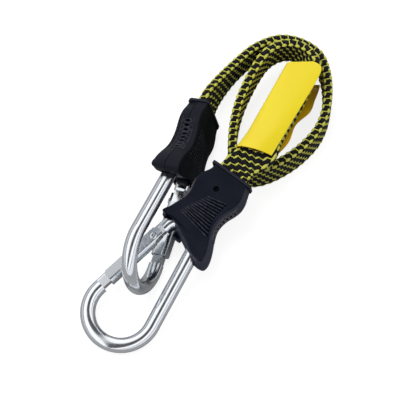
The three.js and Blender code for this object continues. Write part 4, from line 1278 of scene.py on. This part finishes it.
def nylon_finish(name, place, bend, axes, painted_wall_light):
    """Satin black nylon, with painted light on its walls and painted shade in its bed, hole and
    pits.

    A place is on a wall where the normal's share along the handle's Z is small. It is in the bed
    where it faces along Z and lies below the face, and in a pit where |z| is less than the loop
    height times |cos(pi (y - first) / pitch)|.
    """
    made, tree, shader = start_finish(name, 0.4)
    own = own_place(tree)

    def work(operation, *values):
        return number(tree, operation, *values)

    def share_of(value, low, high):
        return remapped(tree, value, low, high, 0, 1)

    patches = noise(tree, own, 90)
    tree.links.new(remapped(tree, patches, 0.3, 0.7, 0.34, 0.46), shader.inputs["Roughness"])
    hole_place = place([face_hole[0], face_hole[1] - mouth_to_bend, 6.0])
    from_hole = add_node(
        tree, "ShaderNodeVectorMath", {0: own, 1: tuple(hole_place)}, operation="DISTANCE"
    ).outputs["Value"]
    hole = share_of(from_hole, (hole_radius + 0.15) * MM, (hole_radius - 0.05) * MM)
    y_start, z_start = float(mouth_to_bend - axes[1] @ bend), float(-axes[2] @ bend)
    y = work("ADD", along_axis(tree, own, axes[1] / MM), y_start)
    z = work("ADD", along_axis(tree, own, axes[2] / MM), z_start)
    normal = add_node(tree, "ShaderNodeNewGeometry").outputs["Normal"]
    facing = work("ABSOLUTE", along_axis(tree, normal, axes[2]))
    height = work("ABSOLUTE", z)
    wall = share_of(facing, 0.9, 0.3)
    phase = work("MULTIPLY", work("SUBTRACT", y, loop_first), math.pi / loop_pitch)
    reach = work("MULTIPLY", work("ABSOLUTE", work("COSINE", phase)), loop_height)
    pit = share_of(work("SUBTRACT", reach, height), 0.0, 0.3)
    begun = share_of(y, loop_first - row_margin, loop_first - row_margin + 0.1)
    ended = share_of(y, loop_last + row_margin, loop_last + row_margin - 0.1)
    for window in (begun, ended, wall):
        pit = work("MULTIPLY", pit, window)
    growth = (hook_half_thickness - mouth_half_thickness) / grip_length
    face_level = work("ADD", work("MULTIPLY", y, growth), mouth_half_thickness)
    sunk = share_of(work("SUBTRACT", face_level, height), 0.12, 0.35)
    bed = work("MULTIPLY", sunk, share_of(facing, 0.93, 0.98))
    # Painted shade: the pits, the face hole and the bed are made black and lose their specular.
    dark = work("MAXIMUM", work("MAXIMUM", pit, hole), bed)
    # Random tone from the patches, plus painted light: the walls get the lighter colour.
    light = work("ADD", work("MULTIPLY", patches, 0.25), work("MULTIPLY", wall, 0.75))
    tree.links.new(remapped(tree, dark, 0, 1, 0.07, 0.0), shader.inputs["Specular IOR Level"])
    two_colours(tree, shader, work("SUBTRACT", light, dark), (0.002, 0.004, 0.009), painted_wall_light)
    raised(tree, shader, noise(tree, own, 1600), 0.3, 0.06)
    return made


def refinish(node, finish):
    """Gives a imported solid, whose shape stays, a finish with real detail."""
    nodes[node].data.materials.clear()
    nodes[node].data.materials.append(finish)


rubber = grained_finish(
    "black_rubber", 1100, (0.010, 0.010, 0.018), (0.017, 0.017, 0.030), (0.3, 0.08), 0.5,
    specular=0.25,
)
# The band pins are near-black: black-oxide steel, and painted shade for the face hole over them.
dark_steel = grained_finish(
    "dark_steel", 900, (0.001, 0.001, 0.002), (0.004, 0.004, 0.005), (0.3, 0.05), 0.6,
    specular=0.05,
)
rib_nylon = grained_finish(
    "rib_nylon", 700, (0.010, 0.012, 0.019), (0.040, 0.043, 0.055), (0.3, 0.06), 0.4,
    specular=0.2, span=(0.4, 0.65),
)
# Painted light: this lighter nylon for the front handle's waist grip stands for light on that wall.
painted_light_nylon = grained_finish(
    "painted_light_nylon", 1600, (0.075, 0.077, 0.095), (0.11, 0.112, 0.13), (0.3, 0.06), 0.45,
    specular=0.3,
)

# %% [markdown]
# ## The grip on the waist
# Along the hollow of both side walls runs a chain of small loops between two rails, for the
# fingers. It could be cut into the wall, but it stands out, so it is laid on: two strands swing
# up and down in step and cross between the loops, and each is a thin tube set into the wall.

# %% The grip on the waist
def on_side_wall(side, y, z):
    """Points of a side wall at y from the mouth and height z, and the wall's outward ways there."""
    rows = outline_at < 9 if side == 1 else outline_at > 22
    order = np.argsort(outline_line[rows][:, 1])

    wall, out = (
        columns_at(y, outline_line[rows][order, 1], table[rows][order])
        for table in (outline_line, outline_out)
    )
    slope = np.where(z > 0, face_wall_slope, back_wall_slope)
    inset = slope * np.abs(z) / (half_thickness(y) - edge_round)
    wall = np.column_stack([wall[:, 0], y - mouth_to_bend, z])
    out = np.column_stack([out, 0 * z])
    return wall - inset[:, None] * out, out


def strand(side, y, z, radius):
    """Tube along a line of the wall: centre + radius (cos t * outwards + sin t * square to it).

    The tube is sunk by half its radius, and it thins out at both ends.
    """
    middle, out = on_side_wall(side, y, z)
    way = unit(np.gradient(middle, axis=0))
    over = np.cross(way, out)
    along = np.linspace(0, 1, len(y))[:, None, None]
    thin = radius * np.clip(np.minimum(along, 1 - along) * 40 + 0.3, 0, 1)
    t = 2 * math.pi * np.arange(10) / 10
    ring = out[:, None] * (np.cos(t)[:, None] - 0.1) + over[:, None] * np.sin(t)[:, None]
    return middle[:, None] + thin * ring


loop_y = np.linspace(loop_first - loop_pitch / 2, loop_last + loop_pitch / 2, 161)
loop_z = loop_height * np.cos(math.pi * (loop_y - loop_first) / loop_pitch)
rail_y = np.linspace(loop_first - 2 * row_margin, loop_last + 2 * row_margin, 61)
rail_z = 0 * rail_y + rail_height
grip_lines = [
    (loop_y, loop_z, 0.5), (loop_y, -loop_z, 0.5), (rail_y, rail_z, 0.4), (rail_y, -rail_z, 0.4)
]
# Painted light and shade: the front handle's walls and grip get lighter colours and the rear's
# darker ones, as lit and shaded copies of one nylon.
ends_in_full = [
    (*ENDS[0], front_bend, front_axes, (0.048, 0.052, 0.080), painted_light_nylon),
    (*ENDS[1], rear_bend, rear_axes, (0.013, 0.014, 0.021), rib_nylon),
]
for name, place, bend, axes, painted_wall_light, grip_finish in ends_in_full:
    nylon = nylon_finish(name + "_nylon", place, bend, axes, painted_wall_light)
    for half in ("face", "back"):
        made = make_piece(
            f"{name}_{half}_half", [place(shell_grid(half))], nylon, "black_nylon",
            ends="first", sharp=35, weld=True,
        )
        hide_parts(f"{name}_handle_{half}_shell")
        ribs = [place(rib_grid(turn, half)) for turn in np.linspace(*rib_turns, rib_count)]
        make_piece(f"{name}_{half}_ribs", ribs, rib_nylon, "black_nylon", sharp=50)
    make_piece(name + "_lug", [place(lug_grid())], nylon, "black_nylon", sharp=50)
    refinish(name + "_handle_collar", rubber)
    refinish(name + "_band_clamp", spring_steel)
    refinish(name + "_band_pin", dark_steel)
    strands = [place(strand(side, *line)) for side in (1, -1) for line in grip_lines]
    make_piece(name + "_waist_grip", strands, grip_finish, "black_nylon")

# %% [markdown]
# ## The studio
# The picture was taken on white. A pale floor catches a soft shadow, lifted nearly to white where
# the camera sees it. The world lights everything evenly, but mirrors see panels in it, bright
# ones with dark bands between, because polished steel shows nothing but what is round it. One
# large soft lamp, hidden from mirrors, gives the light a direction.

# %% The studio
def seen_directly(tree):
    """One for rays from the camera, also through clear things, and zero for all others."""
    ray = add_node(tree, "ShaderNodeLightPath")
    return number(
        tree, "MAXIMUM", ray.outputs["Is Camera Ray"], ray.outputs["Is Transmission Ray"]
    )


def background(tree, colour, strength):
    """Light of this colour and strength from every side, wired or plain."""
    return add_node(
        tree, "ShaderNodeBackground", {"Color": colour, "Strength": strength}
    ).outputs[0]


WHITE = (1, 1, 1, 1)
bpy.context.scene.view_settings.view_transform = "Standard"
floor_paint, tree, shader = start_finish("floor_paint", 0.9, specular=0.0)
shader.inputs["Base Color"].default_value = (0.40, 0.40, 0.40, 1)
shader.inputs["Emission Color"].default_value = WHITE
tree.links.new(
    number(tree, "MULTIPLY", seen_directly(tree), 0.82), shader.inputs["Emission Strength"]
)
floor_level = cad_low.z - 0.1 * MM
reach = 6.0
floor_mesh = bpy.data.meshes.new("floor")
floor_mesh.from_pydata(
    [(x * reach, y * reach, floor_level) for x, y in ((-1, -1), (1, -1), (1, 1), (-1, 1))],
    [], [(0, 1, 2, 3)],
)
floor_mesh.materials.append(floor_paint)
floor = bpy.data.objects.new("floor", floor_mesh)
bpy.context.scene.collection.objects.link(floor)

world = bpy.data.worlds.new("white_room")
world.use_nodes = True
bpy.context.scene.world = world
tree = world.node_tree
tree.nodes.clear()
direction = add_node(tree, "ShaderNodeTexCoord").outputs["Generated"]
over = add_node(tree, "ShaderNodeSeparateXYZ", {"Vector": direction}).outputs["Z"]
tilt = number(tree, "ARCTAN2", along_axis(tree, direction, (0.875, -0.485, 0.0)), over)
panels = add_node(
    tree, "ShaderNodeValToRGB", {"Fac": remapped(tree, tilt, -quarter_turn, quarter_turn, 0, 1)}
)
stops = panels.color_ramp.elements
for stop, position in zip(stops, (0.0, 1.0)):
    stop.position, stop.color = position, (0.68, 0.71, 0.76, 1)
for degrees, grey in ((-72, 0.5), (-68, 0.16), (-60, 0.2), (-56, 1.0), (-14, 1.0), (-7, 0.10),
                      (22, 0.07), (30, 1.0), (54, 1.0), (57, 0.2), (62, 0.2), (66, 0.9), (80, 0.7)):
    stop = stops.new((degrees + 90) / 180)
    stop.color = (grey, grey, min(grey * 1.06, 1.0), 1)
mirrored = background(tree, panels.outputs["Color"], 1.18)
glossy = add_node(tree, "ShaderNodeLightPath").outputs["Is Glossy Ray"]
lit = add_node(
    tree, "ShaderNodeMixShader", {0: glossy, 1: background(tree, WHITE, 0.57), 2: mirrored}
)
choice = add_node(
    tree, "ShaderNodeMixShader",
    {0: seen_directly(tree), 1: lit.outputs[0], 2: background(tree, WHITE, 1.0)},
)
add_node(tree, "ShaderNodeOutputWorld", {"Surface": choice.outputs[0]})

lamp_data = bpy.data.lights.new("soft_lamp", "AREA")
lamp_data.shape = "RECTANGLE"
lamp_data.size = 0.7
lamp_data.size_y = 0.5
lamp_data.energy = 4.2
lamp = bpy.data.objects.new("soft_lamp", lamp_data)
lamp.location = (-0.35, 0.15, 0.85)
lamp.rotation_euler = (math.radians(-8), math.radians(-23), 0)
lamp.visible_glossy = False
bpy.context.scene.collection.objects.link(lamp)
